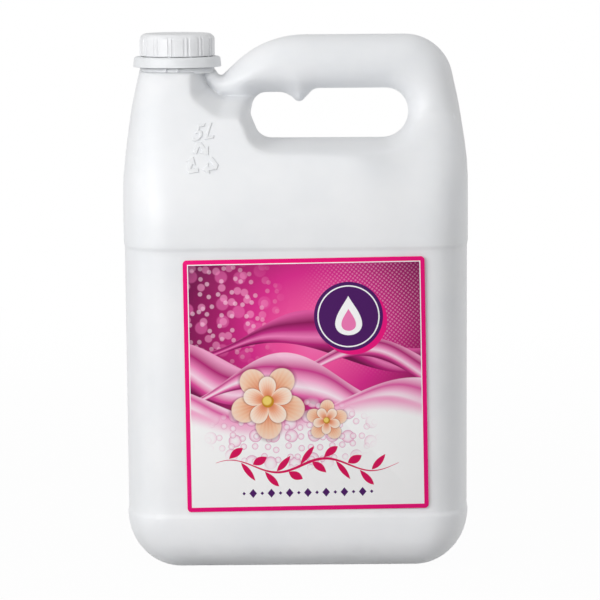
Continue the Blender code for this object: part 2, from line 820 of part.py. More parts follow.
def make_wad(parts):
    place = (NECK_X, 0, WAD_BOTTOM)
    radius = WAD_DIAMETER / 2
    wad = turned(
        "cap_liner",
        [(0, WAD_THICKNESS), (radius, WAD_THICKNESS), (radius, 0), (0, 0)],
        48,
        parts,
        place,
    )
    return finished(wad, material("foamed polyethylene", (0.82, 0.84, 0.84), 0.7))


def make_label(parts):
    """Label film, a rounded rectangle laid on the recessed front panel."""
    wide = LABEL_WIDTH / 2
    high = LABEL_HEIGHT / 2
    outline = rounded_path(
        [
            (-wide, -high, LABEL_CORNER),
            (wide, -high, LABEL_CORNER),
            (wide, high, LABEL_CORNER),
            (-wide, high, LABEL_CORNER),
        ],
        18,
        closed=True,
    )
    front = BODY_DEPTH / 2 - PANEL_STEP + FIT_GAP
    sections = []
    for y in (-front, -front - LABEL_THICKNESS):
        sections.append([(x, y, z) for x, z in outline])
    label = loft("label", sections, True, parts)
    tilt = math.radians(LABEL_TILT)
    label.data.transform(turn_about_y(-tilt, (LABEL_X, 0, LABEL_Z)))
    bmesh_faces_out(label.data)
    return finished(label, material("printed label film", (0.80, 0.06, 0.36), 0.3))


def turn_about_y(angle, middle):
    return Matrix.Translation(Vector(middle) * MM) @ Matrix.Rotation(angle, 4, "Y")


def main():
    for old in list(bpy.data.objects):
        bpy.data.objects.remove(old)
    parts = bpy.data.collections.new("hand soap refill pack")
    cutters = bpy.data.collections.new("cutters")
    for group in (parts, cutters):
        bpy.context.scene.collection.children.link(group)
    cavity = make_cavity(cutters)
    make_bottle(parts, cutters, cavity)
    make_soap(parts, cavity)
    make_cap(parts, cutters)
    make_ring(parts)
    make_wad(parts)
    make_label(parts)
    cutters.hide_render = True


main()
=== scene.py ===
# Hand soap refill pack: a blow moulded five litre can with its handle, a screw
# cap, a tamper evident ring and a printed label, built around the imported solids.
# Lengths are millimetres unless a name says otherwise; the front looks along -Y.
import json
import math

import bmesh
import bpy
import numpy as np
from mathutils import Euler, Matrix, Vector
from mathutils.geometry import delaunay_2d_cdt

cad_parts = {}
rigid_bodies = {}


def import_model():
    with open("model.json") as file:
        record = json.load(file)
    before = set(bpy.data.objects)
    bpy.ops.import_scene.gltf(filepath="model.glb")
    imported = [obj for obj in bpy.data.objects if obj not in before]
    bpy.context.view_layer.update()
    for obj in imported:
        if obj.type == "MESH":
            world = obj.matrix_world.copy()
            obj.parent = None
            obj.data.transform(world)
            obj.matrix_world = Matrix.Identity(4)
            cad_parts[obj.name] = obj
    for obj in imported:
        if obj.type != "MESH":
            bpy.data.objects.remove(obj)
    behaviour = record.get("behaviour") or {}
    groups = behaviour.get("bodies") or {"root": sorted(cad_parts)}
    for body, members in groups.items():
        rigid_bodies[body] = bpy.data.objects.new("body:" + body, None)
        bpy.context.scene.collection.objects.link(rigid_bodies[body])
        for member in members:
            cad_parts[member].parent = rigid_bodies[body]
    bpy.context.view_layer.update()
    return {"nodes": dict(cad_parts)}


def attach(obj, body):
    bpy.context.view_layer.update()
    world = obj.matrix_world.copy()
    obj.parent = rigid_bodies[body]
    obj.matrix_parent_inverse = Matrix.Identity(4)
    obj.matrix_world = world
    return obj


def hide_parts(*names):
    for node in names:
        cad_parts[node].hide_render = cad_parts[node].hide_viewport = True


for leftOver in list(bpy.data.objects):
    bpy.data.objects.remove(leftOver)
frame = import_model()
mm = 0.001
print("frame loaded:", sorted(frame["nodes"]))


# Small sums

def between(low, high, share):
    return low + (high - low) * share


def ease(start, stop, value):
    share = np.clip((value - start) / (stop - start), 0, 1)
    return share * share * (3 - 2 * share)


def softPositive(value, softness):
    return 0.5 * (value + np.sqrt(value * value + softness * softness))


def softMax(one, other, softness):
    return other + softPositive(one - other, softness)


def rounding(distance, radius, power):
    # share of the full depth at a distance from the outline, a quarter superellipse
    left = np.clip(1 - distance / radius, 0, 1)
    return (1 - left**power) ** (1 / power)


def roundedPath(corners, arcStep, closed):
    # points of a path whose corners (x, z, radius) are arcs
    path = []
    count = len(corners)
    for index, (x, z, radius) in enumerate(corners):
        here = np.array((x, z))
        if not closed and index in (0, count - 1):
            path.append(here)
            continue
        before = np.array(corners[index - 1][:2])
        after = np.array(corners[(index + 1) % count][:2])
        wayIn = (here - before) / np.linalg.norm(here - before)
        wayOut = (after - here) / np.linalg.norm(after - here)
        turn = math.atan2(wayIn[0] * wayOut[1] - wayIn[1] * wayOut[0], wayIn @ wayOut)
        reach = radius * math.tan(abs(turn) / 2)
        spoke = np.array((wayIn[1], -wayIn[0])) * math.copysign(radius, turn)
        middle = here - wayIn * reach - spoke
        steps = max(1, math.ceil(abs(math.degrees(turn)) / arcStep))
        for step in range(steps + 1):
            angle = turn * step / steps
            cosine, sine = math.cos(angle), math.sin(angle)
            path.append(middle + (spoke[0] * cosine - spoke[1] * sine, spoke[0] * sine + spoke[1] * cosine))
    return np.array(path)


def splitLong(path, longest, closed):
    ends = np.roll(path, -1, axis=0) if closed else path[1:]
    points = []
    for start, end in zip(path, ends):
        parts = max(1, math.ceil(np.linalg.norm(end - start) / longest))
        points += [between(start, end, part / parts) for part in range(parts)]
    return np.array(points if closed else points + [path[-1]])


def inward(path, closed):
    # unit normals to the left of the path
    if closed:
        way = np.roll(path, -1, axis=0) - np.roll(path, 1, axis=0)
    else:
        way = np.gradient(path, axis=0)
    way /= np.linalg.norm(way, axis=1)[:, None]
    return np.stack([-way[:, 1], way[:, 0]], axis=1)


def distanceTo(points, path, signed=False):
    # distance of each point to an open path; signed is positive on its left
    start = path[:-1]
    way = path[1:] - start
    answer = np.empty(len(points))
    for first in range(0, len(points), 2000):
        offset = points[first:first + 2000, None, :] - start[None]
        share = np.clip((offset * way).sum(2) / (way * way).sum(1), 0, 1)
        gap = offset - share[..., None] * way
        length = np.sqrt((gap * gap).sum(2))
        nearest = length.argmin(axis=1)
        rows = np.arange(len(nearest))
        found = length[rows, nearest]
        if signed:
            side = way[nearest, 0] * offset[rows, nearest, 1] - way[nearest, 1] * offset[rows, nearest, 0]
            found = np.where(side >= 0, found, -found)
        answer[first:first + 2000] = found
    return answer


def within(points, path):
    found = np.zeros(len(points), bool)
    for (x0, z0), (x1, z1) in zip(path, np.roll(path, -1, axis=0)):
        if z0 != z1:
            crosses = (z0 > points[:, 1]) != (z1 > points[:, 1])
            found ^= crosses & (points[:, 0] < x0 + (points[:, 1] - z0) * (x1 - x0) / (z1 - z0))
    return found


# Mesh work

def newObject(name, mesh):
    item = bpy.data.objects.new(name, mesh)
    bpy.context.scene.collection.objects.link(item)
    return item


def meshOf(name, corners, faces):
    mesh = bpy.data.meshes.new(name)
    mesh.from_pydata([tuple(value * mm for value in corner) for corner in corners], [], faces)
    return mesh


def settled(item):
    # the object with the mesh that its modifiers give
    bpy.context.view_layer.update()
    graph = bpy.context.evaluated_depsgraph_get()
    mesh = bpy.data.meshes.new_from_object(item.evaluated_get(graph))
    item.modifiers.clear()
    item.data = mesh
    return item


def joinSolid(item, other, operation):
    # united with, or less, another solid, which is then deleted
    change = item.modifiers.new(operation.lower(), "BOOLEAN")
    change.operation = operation
    change.object = other
    change.solver = "EXACT"
    settled(item)
    bpy.data.objects.remove(other)
    return item


def facesOut(mesh):
    work = bmesh.new()
    work.from_mesh(mesh)
    bmesh.ops.remove_doubles(work, verts=work.verts, dist=1e-7)
    bmesh.ops.recalc_face_normals(work, faces=work.faces)
    work.to_mesh(mesh)
    work.free()
    return mesh


def turned(name, profile, steps, x=0.0, phase=0.0):
    # solid of revolution of a profile (radius, z) about an upright axis at x
    corners, faces, rings = [], [], []
    for radius, z in profile:
        if radius == 0:
            rings.append([len(corners)] * steps)
            corners.append((x, 0, z))
            continue
        rings.append(range(len(corners), len(corners) + steps))
        for step in range(steps):
            angle = 2 * math.pi * step / steps + phase
            corners.append((x + radius * math.cos(angle), radius * math.sin(angle), z))
    pairs = list(zip(rings, rings[1:]))
    if profile[0][0] > 0:
        pairs.append((rings[-1], rings[0]))
    for upper, lower in pairs:
        for step in range(steps):
            after = (step + 1) % steps
            face = [upper[step], lower[step], lower[after], upper[after]]
            face = list(dict.fromkeys(face))
            if len(face) > 2:
                faces.append(face)
    return newObject(name, facesOut(meshOf(name, corners, faces)))


def loftMesh(name, sections):
    # closed skin through rings of equal counts
    count = len(sections[0])
    corners = [point for ring in sections for point in ring]
    faces = []
    for low in range(0, (len(sections) - 1) * count, count):
        for side in range(count):
            after = (side + 1) % count
            faces.append((low + side, low + after, low + count + after, low + count + side))
    faces.append(tuple(range(count)))
    faces.append(tuple(range(len(corners) - count, len(corners))))
    return facesOut(meshOf(name, corners, faces))


def smoothed(item, sharpAngle):
    item.data.shade_smooth()
    item.data.set_sharp_from_angle(angle=math.radians(sharpAngle))
    return item


def arc(middle, radius, fromTurn, toTurn, steps):
    # points (radius from the axis, z) round a middle, turns in degrees from outwards
    turns = np.radians(np.linspace(fromTurn, toTurn, steps + 1))
    return [(middle[0] + radius * math.cos(turn), middle[1] + radius * math.sin(turn)) for turn in turns]


# Node work

def linear(code):
    # an sRGB hex colour as the linear values that shaders take
    values = [int(code[place:place + 2], 16) / 255 for place in (1, 3, 5)]
    return (*[v / 12.92 if v <= 0.04045 else ((v + 0.055) / 1.055) ** 2.4 for v in values], 1.0)


def addNode(tree, kind, inputs=(), stops=(), **settings):
    # adds a node; a sum or an easing is named by its operation alone, a ramp takes stops
    if kind in ("LINEAR", "SMOOTHSTEP"):
        settings["interpolation_type"] = kind
        kind = "ShaderNodeMapRange"
    elif kind.isupper():
        settings["operation"] = kind
        kind = "ShaderNodeMath"
    node = tree.nodes.new(kind)
    for name, value in settings.items():
        setattr(node, name, value)
    for key, value in inputs.items() if isinstance(inputs, dict) else enumerate(inputs):
        if isinstance(value, bpy.types.Node):
            value = value.outputs[0]
        if isinstance(value, bpy.types.NodeSocket):
            tree.links.new(value, node.inputs[key])
        elif value is not None:
            node.inputs[key].default_value = value
    for number, (place, code) in enumerate(stops):
        elements = node.color_ramp.elements
        element = elements[number] if number < 2 else elements.new(place)
        element.position = place
        element.color = linear(code)
    return node


def newMaterial(name, **values):
    # a material, its shader with plain values, and its node tree
    finish = bpy.data.materials.new(name)
    finish.use_nodes = True
    shader = finish.node_tree.nodes["Principled BSDF"]
    for key, value in values.items():
        shader.inputs[key].default_value = value
    return finish, shader, finish.node_tree


# The can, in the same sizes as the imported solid

can = {
    "bodyWidth": 191.4, "baseWidth": 188.4, "bodyDepth": 131.9, "shoulderZ": 214.0,
    "baseRound": 30.0, "baseTrim": 1.0, "plateauZ": 271.9, "plateauRound": 2.4,
    "towerTopDepth": 50.0, "neckInset": 30.5,
    "bodyCorner": 33.0, "bodyPower": 3.3, "footCorner": 33.0, "footPower": 4.5, "towerCorner": 23.0, "rimCorner": 6.0,
    "wall": 1.2, "pinchedWall": 2.6,
    "panelBottom": 30.0, "panelTop": 176.5, "panelStep": 1.0, "panelStepHeight": 3.0,
    "domeLength": 132.0, "domeWidth": 50.0, "domeRise": 4.0, "domeSink": 0.7,
    "skinGrid": 3.4, "arcStep": 5, "longest": 5.0,
    "creaseSlope": 2.2, "creaseSoft": 0.9, "seamWidth": 0.9, "seamProud": 0.22,
}
handle = {
    "rise": 19.3, "bar": 29.9, "depth": 35.0, "leg": 32.8, "round": 27.0, "sweep": 55.0,
    "notch": 23.9, "holeWidth": 87.2, "holeHeight": 27.8, "fingerStop": 7.0, "webDepth": 20.0,
    "grooveDepth": 4.4, "grooveWidth": 1.3, "grooveShift": 0.7, "throatLength": 15.0,
}
neck = {
    "bore": 31.2, "root": 34.6, "height": 17.0, "collar": 42.4, "collarTop": 41.2, "collarHeight": 1.5, "collarRise": 0.2,
    "bead": 39.2, "beadHeight": 1.4, "lugWidth": 1.1, "lugProud": 0.9,
    "lugAngles": (-106.5, -88.7, 73.5, 91.3),
    "pitch": 4.0, "threadDepth": 1.4, "turns": 1.7, "foot": 1.9, "crest": 0.9, "clearance": 0.45,
    "steps": 120,
}
leftX = -can["bodyWidth"] / 2
rightX = can["bodyWidth"] / 2
neckX = leftX + can["neckInset"]
plateauZ = can["plateauZ"]
handleTop = plateauZ + handle["rise"]
holeTop = handleTop - handle["bar"]
holeBottom = holeTop - handle["holeHeight"]
holeRight = rightX - handle["leg"]
holeLeft = holeRight - handle["holeWidth"]
collarTop = plateauZ + neck["collarHeight"]
neckTop = plateauZ + neck["height"]
threadStart = neckTop - 1.4 - neck["turns"] * neck["pitch"]
capBore = neck["root"] + 2 * (neck["threadDepth"] + neck["clearance"])


def canOutline():
    # from the tower's top left, round the base and over the handle
    halfCollar = neck["collar"] / 2
    return [
        (neckX - halfCollar + 0.2, plateauZ, 0),
        (leftX + 4.7, plateauZ - 21, 160),
        (leftX, can["shoulderZ"], 160),
        (-can["baseWidth"] / 2, -can["baseTrim"], can["baseRound"]),
        (can["baseWidth"] / 2, -can["baseTrim"], can["baseRound"]),
        (rightX, can["shoulderZ"] + 8, 120),
        (rightX - 4.6, handleTop - 39, 120),
        (rightX - 12.9, handleTop, handle["round"]),
        (neckX + 48.5, handleTop, handle["sweep"]),
        (neckX + handle["notch"], plateauZ - 4.1, 2.2),
        (neckX + halfCollar + 0.1, plateauZ, 0),
    ]


def holeOutline():
    stopX = holeLeft + 26.8
    leftTop = holeTop - 2.0
    return [
        (holeLeft - 0.6, holeBottom + 13.8, 8),
        (holeLeft + 2.0, leftTop, 8.2),
        (stopX - 7.0, leftTop, 12),
        (stopX, leftTop - handle["fingerStop"] + 0.4, 3.4),
        (stopX + 8.2, holeTop, 6.5),
        (holeRight, holeTop, 0.45 * handle["holeHeight"]),
        (holeRight, holeBottom, 0.53 * handle["holeHeight"]),
        (holeLeft + 5.0, holeBottom, 9),
    ]


def creaseLine(arcStep):
    # edge of the front panel: down the tower, then right under the hole
    return roundedPath([
        (neckX + 5.4, plateauZ + 60, 0),
        (neckX + 8.2, plateauZ - 14, 9),
        (neckX + 22.5, plateauZ - 24.6, 12),
        (holeLeft - 1.9, plateauZ - 25.2, 5),
        (holeLeft - 1.2, holeBottom + 1.8, 9),
        (holeLeft + 13.0, holeBottom - 5.4, 14),
        (holeLeft + 0.7 * handle["holeWidth"], holeBottom - 7.6, 80),
        (rightX + 60, holeBottom - 20, 0),
    ], arcStep, False)


def rootLine(arcStep):
    # lower edge of the handle where it grows out of the tower and the web
    return roundedPath([
        (neckX + 11.6, plateauZ + 60, 0),
        (neckX + 13.6, plateauZ - 5, 12),
        (neckX + 22.0, holeTop - 4.4, 10),
        (rightX + 60, holeTop - 4.4, 0),
    ], arcStep, False)


class CanSkin:
    # half depth of the can at any place of its front view, one inset below its skin
    def __init__(self, inset, arcStep, longest):
        self.inset = inset
        rim = splitLong(roundedPath(canOutline(), arcStep, False), longest, False)
        hole = splitLong(roundedPath(holeOutline(), arcStep, True), longest, True)
        self.rim = rim + inward(rim, False) * inset
        self.rim[0] += (inset, 0)
        self.rim[-1] -= (inset, 0)
        self.rim[[0, -1], 1] = plateauZ - inset
        self.hole = hole + inward(hole, True) * inset
        self.holeRing = np.vstack([self.hole, self.hole[:1]])
        self.crease = creaseLine(arcStep)
        self.root = rootLine(arcStep)

    def corner(self, points):
        x, z = points.T
        lean = ease(can["shoulderZ"] - 10, holeTop, z)
        grip = ease(neckX + 22, neckX + 34, x)
        radius = between(can["bodyCorner"], between(can["towerCorner"], handle["bar"] / 2, grip), lean)
        power = between(can["bodyPower"], between(2.8, 2.1, grip), lean)
        # the foot is rounded less than the sides; the two run into each other at its corners
        up = np.clip(can["bodyCorner"] + 8 - z, 0.01, None)
        out = np.clip(np.abs(x) - (can["baseWidth"] / 2 - can["baseRound"]), 0, None)
        foot = up * up / (up * up + 1.6 * out * out)
        foot = foot * (1 - ease(can["bodyCorner"], can["bodyCorner"] + 8, z))
        return between(radius, can["footCorner"], foot) - self.inset, between(power, can["footPower"], foot)

    def holeCorner(self, points):
        return between(can["rimCorner"], handle["bar"] / 2, ease(holeBottom + 7, holeTop, points[:, 1])) - self.inset

    def front(self, z):
        rise = np.clip((z - can["shoulderZ"] + 24) / (plateauZ - can["shoulderZ"] + 24), 0, None)
        return between(can["bodyDepth"] / 2, can["towerTopDepth"] / 2, rise**1.7)

    def halfDepth(self, points):
        x, z = points.T
        pinched = ease(can["shoulderZ"] - 20, holeBottom - 8, z)
        inset = self.inset * between(1, can["pinchedWall"] / can["wall"], pinched)
        pastCrease = distanceTo(points, self.crease, True) + inset
        aboveRoot = distanceTo(points, self.root, True) - inset
        fade = ease(holeLeft + 52, holeRight + 16, x)
        body = self.front(z) - between(can["creaseSlope"], 1.0, fade) * softPositive(pastCrease, between(can["creaseSoft"], 18.0, fade))
        tube = np.maximum(ease(-1.0, 11, aboveRoot), ease(holeRight - 40, holeRight - 8, x))
        grip = between(handle["webDepth"] / 2, handle["depth"] / 2, tube)
        besideNeck = 1 - ease(neckX + 24, neckX + 46, x)
        groove = handle["grooveDepth"] * np.exp(-(((aboveRoot - handle["grooveShift"]) / handle["grooveWidth"]) ** 2)) * besideNeck
        throat = np.sqrt(np.clip((neck["root"] / 2) ** 2 - (x - neckX) ** 2, 0, None))
        throat = throat * ease(plateauZ - handle["throatLength"], plateauZ - can["plateauRound"], z)
        depth = softMax(softMax(body, grip, 3.0) - groove, throat, 1.5) - inset
        radius, power = self.corner(points)
        depth = depth * rounding(distanceTo(points, self.rim), radius, power)
        depth = depth * rounding(distanceTo(points, self.holeRing), self.holeCorner(points), 2.0)
        return depth * rounding(self.underPlateau(points), can["plateauRound"], 4.0)

    def underPlateau(self, points):
        beside = points[:, 0] > neckX + handle["notch"]
        return np.where(beside, handleTop, plateauZ - self.inset - points[:, 1])

    def place(self, points):
        # where a point of the front view lies, with the panel's recess
        x, z = points.T
        halfStep = can["panelStepHeight"] / 2
        step = ease(can["panelBottom"] - halfStep, can["panelBottom"] + halfStep, z)
        step = step * (1 - ease(can["panelTop"] - halfStep, can["panelTop"] + halfStep, z))
        depth = self.halfDepth(points) * (1 - can["panelStep"] / (can["bodyDepth"] / 2) * step)
        return x * (1 - 0.5 * can["panelStep"] / rightX * step), depth, np.maximum(z, self.inset)


def canHalf(skin, name, turns, grid, creaseSteps, rootSteps, evenGrid):
    # front half of the can as an open mesh whose rim lies at y = 0
    points, edges = [], []

    def addPath(path, kept, closed):
        index = {}
        for place in np.flatnonzero(kept):
            index[place] = len(points)
            points.append(path[place])
        for place in range(len(path) if closed else len(path) - 1):
            after = (place + 1) % len(path)
            if place in index and after in index:
                edges.append((index[place], index[after]))

    def free(path, margin):
        return (
            within(path, skin.rim) & ~within(path, skin.hole)
            & (distanceTo(path, skin.rim) > margin) & (distanceTo(path, skin.holeRing) > margin)
            & (skin.underPlateau(path) > margin)
        )

    addPath(skin.rim, np.ones(len(skin.rim), bool), True)
    addPath(skin.hole, np.ones(len(skin.hole), bool), True)
    for path, closed in ((skin.rim, False), (skin.hole, True)):
        radius, power = (skin.holeCorner(path), 2.0) if closed else skin.corner(path)
        own, other = (skin.holeRing, skin.rim) if closed else (skin.rim, skin.holeRing)
        for turn in turns:
            depth = radius * (1 - math.cos(math.radians(turn)) ** (2 / power))
            loop = path + inward(path, closed) * np.broadcast_to(depth, len(path))[:, None]
            kept = (distanceTo(loop, own) > depth * 0.97) & (distanceTo(loop, other) > depth * 0.9)
            addPath(loop, kept & (skin.underPlateau(loop) > 0.3), closed)
    for line, offsets, lastX in (
        (skin.crease, creaseSteps, holeRight + 18), (skin.root, rootSteps, holeLeft + 4),
    ):
        fine = splitLong(line, grid * 0.6, False)
        for offset in offsets:
            path = fine + inward(fine, False) * offset
            true = np.abs(np.abs(distanceTo(path, line)) - abs(offset)) < 0.05
            addPath(path, free(path, 0.8) & true & (path[:, 0] < lastX), False)
    halfStep = can["panelStepHeight"] / 2
    rows = [skin.inset]
    for middle in (can["panelBottom"], can["panelTop"]):
        shares = (-1, -0.5, 0, 0.5, 1) if evenGrid else (-1, 0, 1)
        rows += [middle + halfStep * share for share in shares]
    rowStep = grid if evenGrid else can["bodyWidth"] / 10
    for z in rows:
        x = np.arange(-math.ceil(rightX * 1.2 / rowStep), math.ceil(rightX * 1.2 / rowStep) + 1) * rowStep
        addPath(np.stack([x, np.full(len(x), z)], axis=1), np.ones(len(x), bool), False)
    for turn in turns[1:]:
        drop = can["plateauRound"] * (1 - math.cos(math.radians(turn)) ** 0.5)
        x = np.linspace(skin.rim[0, 0] + 2, skin.rim[-1, 0] - 2, 24 if evenGrid else 8)
        row = np.stack([x, np.full(len(x), plateauZ - skin.inset - drop)], axis=1)
        addPath(row, within(row, skin.rim), False)
    taken = np.array(points)
    if evenGrid:
        heights = np.arange(grid, handleTop, grid * 0.87)
    else:
        shoulder = can["shoulderZ"]
        heights = np.concatenate([np.arange(grid, shoulder - 20, grid * 0.87), np.arange(shoulder - 14, handleTop, grid * 0.6)])
    for number, z in enumerate(heights):
        dense = not evenGrid and z > can["shoulderZ"] - 20
        pitch = grid * (0.8 if dense else 1)
        x = np.arange(leftX + pitch / 2 * (number % 2), rightX, pitch)
        path = np.stack([x, np.full(len(x), z)], axis=1)
        path = path[free(path, 0.6 * grid if evenGrid else 2.5)]
        if len(path):
            gap = np.sqrt(((path[:, None] - taken[None]) ** 2).sum(2)).min(axis=1)
            needed = grid * (0.6 if evenGrid else 0.52 if dense else 1.2)
            rowGap = np.minimum(abs(path[:, 1] - can["panelBottom"]), abs(path[:, 1] - can["panelTop"]))
            points.extend(path[(gap > needed) & (rowGap > can["panelStepHeight"] * (0.55 if evenGrid else 1))])
    found = delaunay_2d_cdt([tuple(point) for point in points], edges, [], 0, 1e-4)
    flat = np.array([tuple(corner) for corner in found[0]])
    faces = np.array(found[2])
    middles = flat[faces].mean(axis=1)
    faces = faces[within(middles, skin.rim) & ~within(middles, skin.hole)]
    used = np.unique(faces)
    renumber = np.full(len(flat), -1)
    renumber[used] = np.arange(len(used))
    flat = flat[used]
    x, depth, z = skin.place(flat)
    onRim = np.minimum(distanceTo(flat, np.vstack([skin.rim, skin.rim[:1]])), distanceTo(flat, skin.holeRing)) < 1e-3
    depth = np.where(onRim, 0, np.maximum(depth, 0.05))
    return meshOf(name, np.stack([x, -depth, z], axis=1).tolist(), renumber[faces].tolist())


def bothHalves(name, mesh):
    item = newObject(name, mesh)
    mirror = item.modifiers.new("both sides", "MIRROR")
    mirror.use_axis = (False, True, False)
    mirror.merge_threshold = 0.00001
    settled(item)
    facesOut(item.data)
    return item


def addSeam(mesh, skin):
    # the mould's parting line: the rim stays, and the skin beside it steps in a little
    outlines = np.vstack([skin.rim, skin.hole])
    outward = -np.vstack([inward(skin.rim, False), inward(skin.hole, True)])
    work = bmesh.new()
    work.from_mesh(mesh)
    rim = [edge for edge in work.edges if edge.is_boundary]
    bmesh.ops.extrude_edge_only(work, edges=rim)
    for corner in {corner for edge in rim for corner in edge.verts}:
        flat = np.array((corner.co.x, corner.co.z)) / mm
        x, z = outward[((outlines - flat) ** 2).sum(1).argmin()] * can["seamProud"] * mm
        if corner.co.z > 0.002:
            corner.co -= Vector((x, 0, z))
        corner.co.y = -can["seamWidth"] / 2 * mm
    work.to_mesh(mesh)
    work.free()


def dome(over):
    # the lens that pushes the base up
    steps, rise = 72, can["domeRise"] + can["domeSink"] + over
    profile = [(0, 1)] + [(math.cos(turn), math.sin(turn)) for turn in np.radians((75, 60, 45, 30, 20, 10, 0, -45))] + [(0, -1)]
    item = turned("dome", [(radius * 10, z * 10) for radius, z in profile], steps)
    scale = ((can["domeLength"] / 2 + over) / 10, (can["domeWidth"] / 2 + over) / 10, rise / 10, 1)
    item.data.transform(Matrix.Translation((0, 0, -can["domeSink"] * mm)) @ Matrix.Diagonal(scale))
    return item


def threadRidge(name, footRadius, depth, startZ, startAngle, perTurn):
    steps = round(neck["turns"] * perTurn)
    runOut = perTurn / 8
    bite = math.copysign(0.35, depth)
    sections = []
    for step in range(steps + 1):
        angle = startAngle + 2 * math.pi * neck["turns"] * step / steps
        middle = startZ + neck["pitch"] * neck["turns"] * step / steps
        size = min(1, (step + 0.4) / runOut, (steps - step + 0.4) / runOut)
        foot, crest, tip = neck["foot"] / 2 * size, neck["crest"] / 2 * size, footRadius + depth * size
        ring = [(footRadius - bite, middle - foot), (tip, middle - crest), (tip, middle + crest), (footRadius - bite, middle + foot)]
        sections.append([(neckX + radius * math.cos(angle), radius * math.sin(angle), z) for radius, z in ring])
    return newObject(name, loftMesh(name, sections))


def neckFinish():
    # thread, bead and collar are turned, with small rounds where the mould has them
    root, bead, collar = neck["root"] / 2, neck["bead"] / 2, neck["collar"] / 2
    top = collarTop + neck["collarRise"]
    beadZ = top + 1.9
    profile = [(0, neckTop)]
    profile += arc((root - 0.6, neckTop - 0.6), 0.6, 90, 0, 4)
    profile += [(root, beadZ + neck["beadHeight"] + 1.0)]
    profile += [(bead - 0.1, beadZ + 0.75), (bead, beadZ + 0.5), (bead, beadZ + 0.1), (bead - 0.1, beadZ), (root, beadZ - 0.4), (root, top + 0.3), (root + 0.3, top)]
    profile += arc((neck["collarTop"] / 2 - 0.7, top - 0.7), 0.7, 90, 10, 5)
    profile += [(collar, plateauZ - 1.3), (0, plateauZ - 1.3)]
    return turned("neck", profile, neck["steps"], neckX)


def lug(angle):
    # a small upright lug on the collar's edge that the ring is stopped by
    turn = math.radians(angle)
    reach = neck["collar"] / 2 + neck["lugProud"]
    half = neck["lugWidth"] / 2
    top, bottom = collarTop + neck["collarRise"], plateauZ - 0.15
    corners = []
    for out, narrow, z in ((reach - 2, 0, bottom), (reach, 0.12, bottom), (reach, 0.12, top - 0.3), (reach - 0.3, 0.12, top), (reach - 2, 0, top)):
        corners.append([(out, side * (half - narrow), z) for side in (-1, 1)])
    faces = [(0, 2, 4, 6, 8), (9, 7, 5, 3, 1)]
    faces += [(2 * place, 2 * place + 1, (2 * place + 3) % 10, (2 * place + 2) % 10) for place in range(5)]
    mesh = facesOut(meshOf("lug", [corner for pair in corners for corner in pair], faces))
    mesh.transform(Matrix.Translation((neckX * mm, 0, 0)) @ Matrix.Rotation(turn, 4, "Z"))
    return newObject("lug", mesh)


def makeCan():
    skin = CanSkin(0, can["arcStep"], can["longest"])
    half = canHalf(
        skin, "canShell", (8, 16, 24, 32, 41, 50, 60, 72), can["skinGrid"],
        (-6.5, -4, -2.4, -1.3, -0.4, 0.5, 1.5, 2.6, 4, 5.8, 8.5), (-2.6, -1.4, -0.4, 0.3, 0.9, 1.5, 2.3, 3.4, 5, 7, 9.5), True,
    )
    addSeam(half, skin)
    shell = bothHalves("canShell", half)
    print("can skin:", len(shell.data.polygons), "faces")
    inner = CanSkin(can["wall"], 18, 60)
    cavity = bothHalves("cavity", canHalf(inner, "cavity", (21, 45, 68), 18.0, (-3, 0.5, 4, 7.5), (-1.5, 1.5, 5), False))
    joinSolid(cavity, dome(can["wall"]), "DIFFERENCE")
    joinSolid(shell, neckFinish(), "UNION")
    for angle in neck["lugAngles"]:
        joinSolid(shell, lug(angle), "UNION")
    joinSolid(shell, threadRidge("neckThread", neck["root"] / 2, neck["threadDepth"], threadStart, 0.2, 48), "UNION")
    joinSolid(shell, cavity, "DIFFERENCE")
    bore = turned("bore", [(0, neckTop + 5), (neck["bore"] / 2, neckTop + 5), (neck["bore"] / 2, plateauZ - 2.6), (0, plateauZ - 2.6)], neck["steps"], neckX, math.pi / neck["steps"])
    joinSolid(shell, bore, "DIFFERENCE")
    joinSolid(shell, dome(0), "DIFFERENCE")
    return shell, skin


canShell, canSkin = makeCan()


# Marks that the mould raises on the left shoulder: the volume, and a loop of arrows

marks = {
    "x": -51.4, "volumeZ": 239.6, "loopZ": 225.0, "turn": 8.0, "lean": 0.5, "spread": 1.12, "volumeHeight": 8.4, "loopRadius": 9.6,
    "barWidth": 2.0, "proud": 0.8, "slope": 0.5, "sunk": 0.5,
}


def volumeCurve():
    curve = bpy.data.curves.new("volume", "FONT")
    curve.body = "5L"
    curve.shear, curve.space_character = marks["lean"], marks["spread"]
    curve.size = marks["volumeHeight"] * 1.4 * mm
    curve.align_x, curve.align_y = "CENTER", "CENTER"
    curve.resolution_u = 6
    return curve


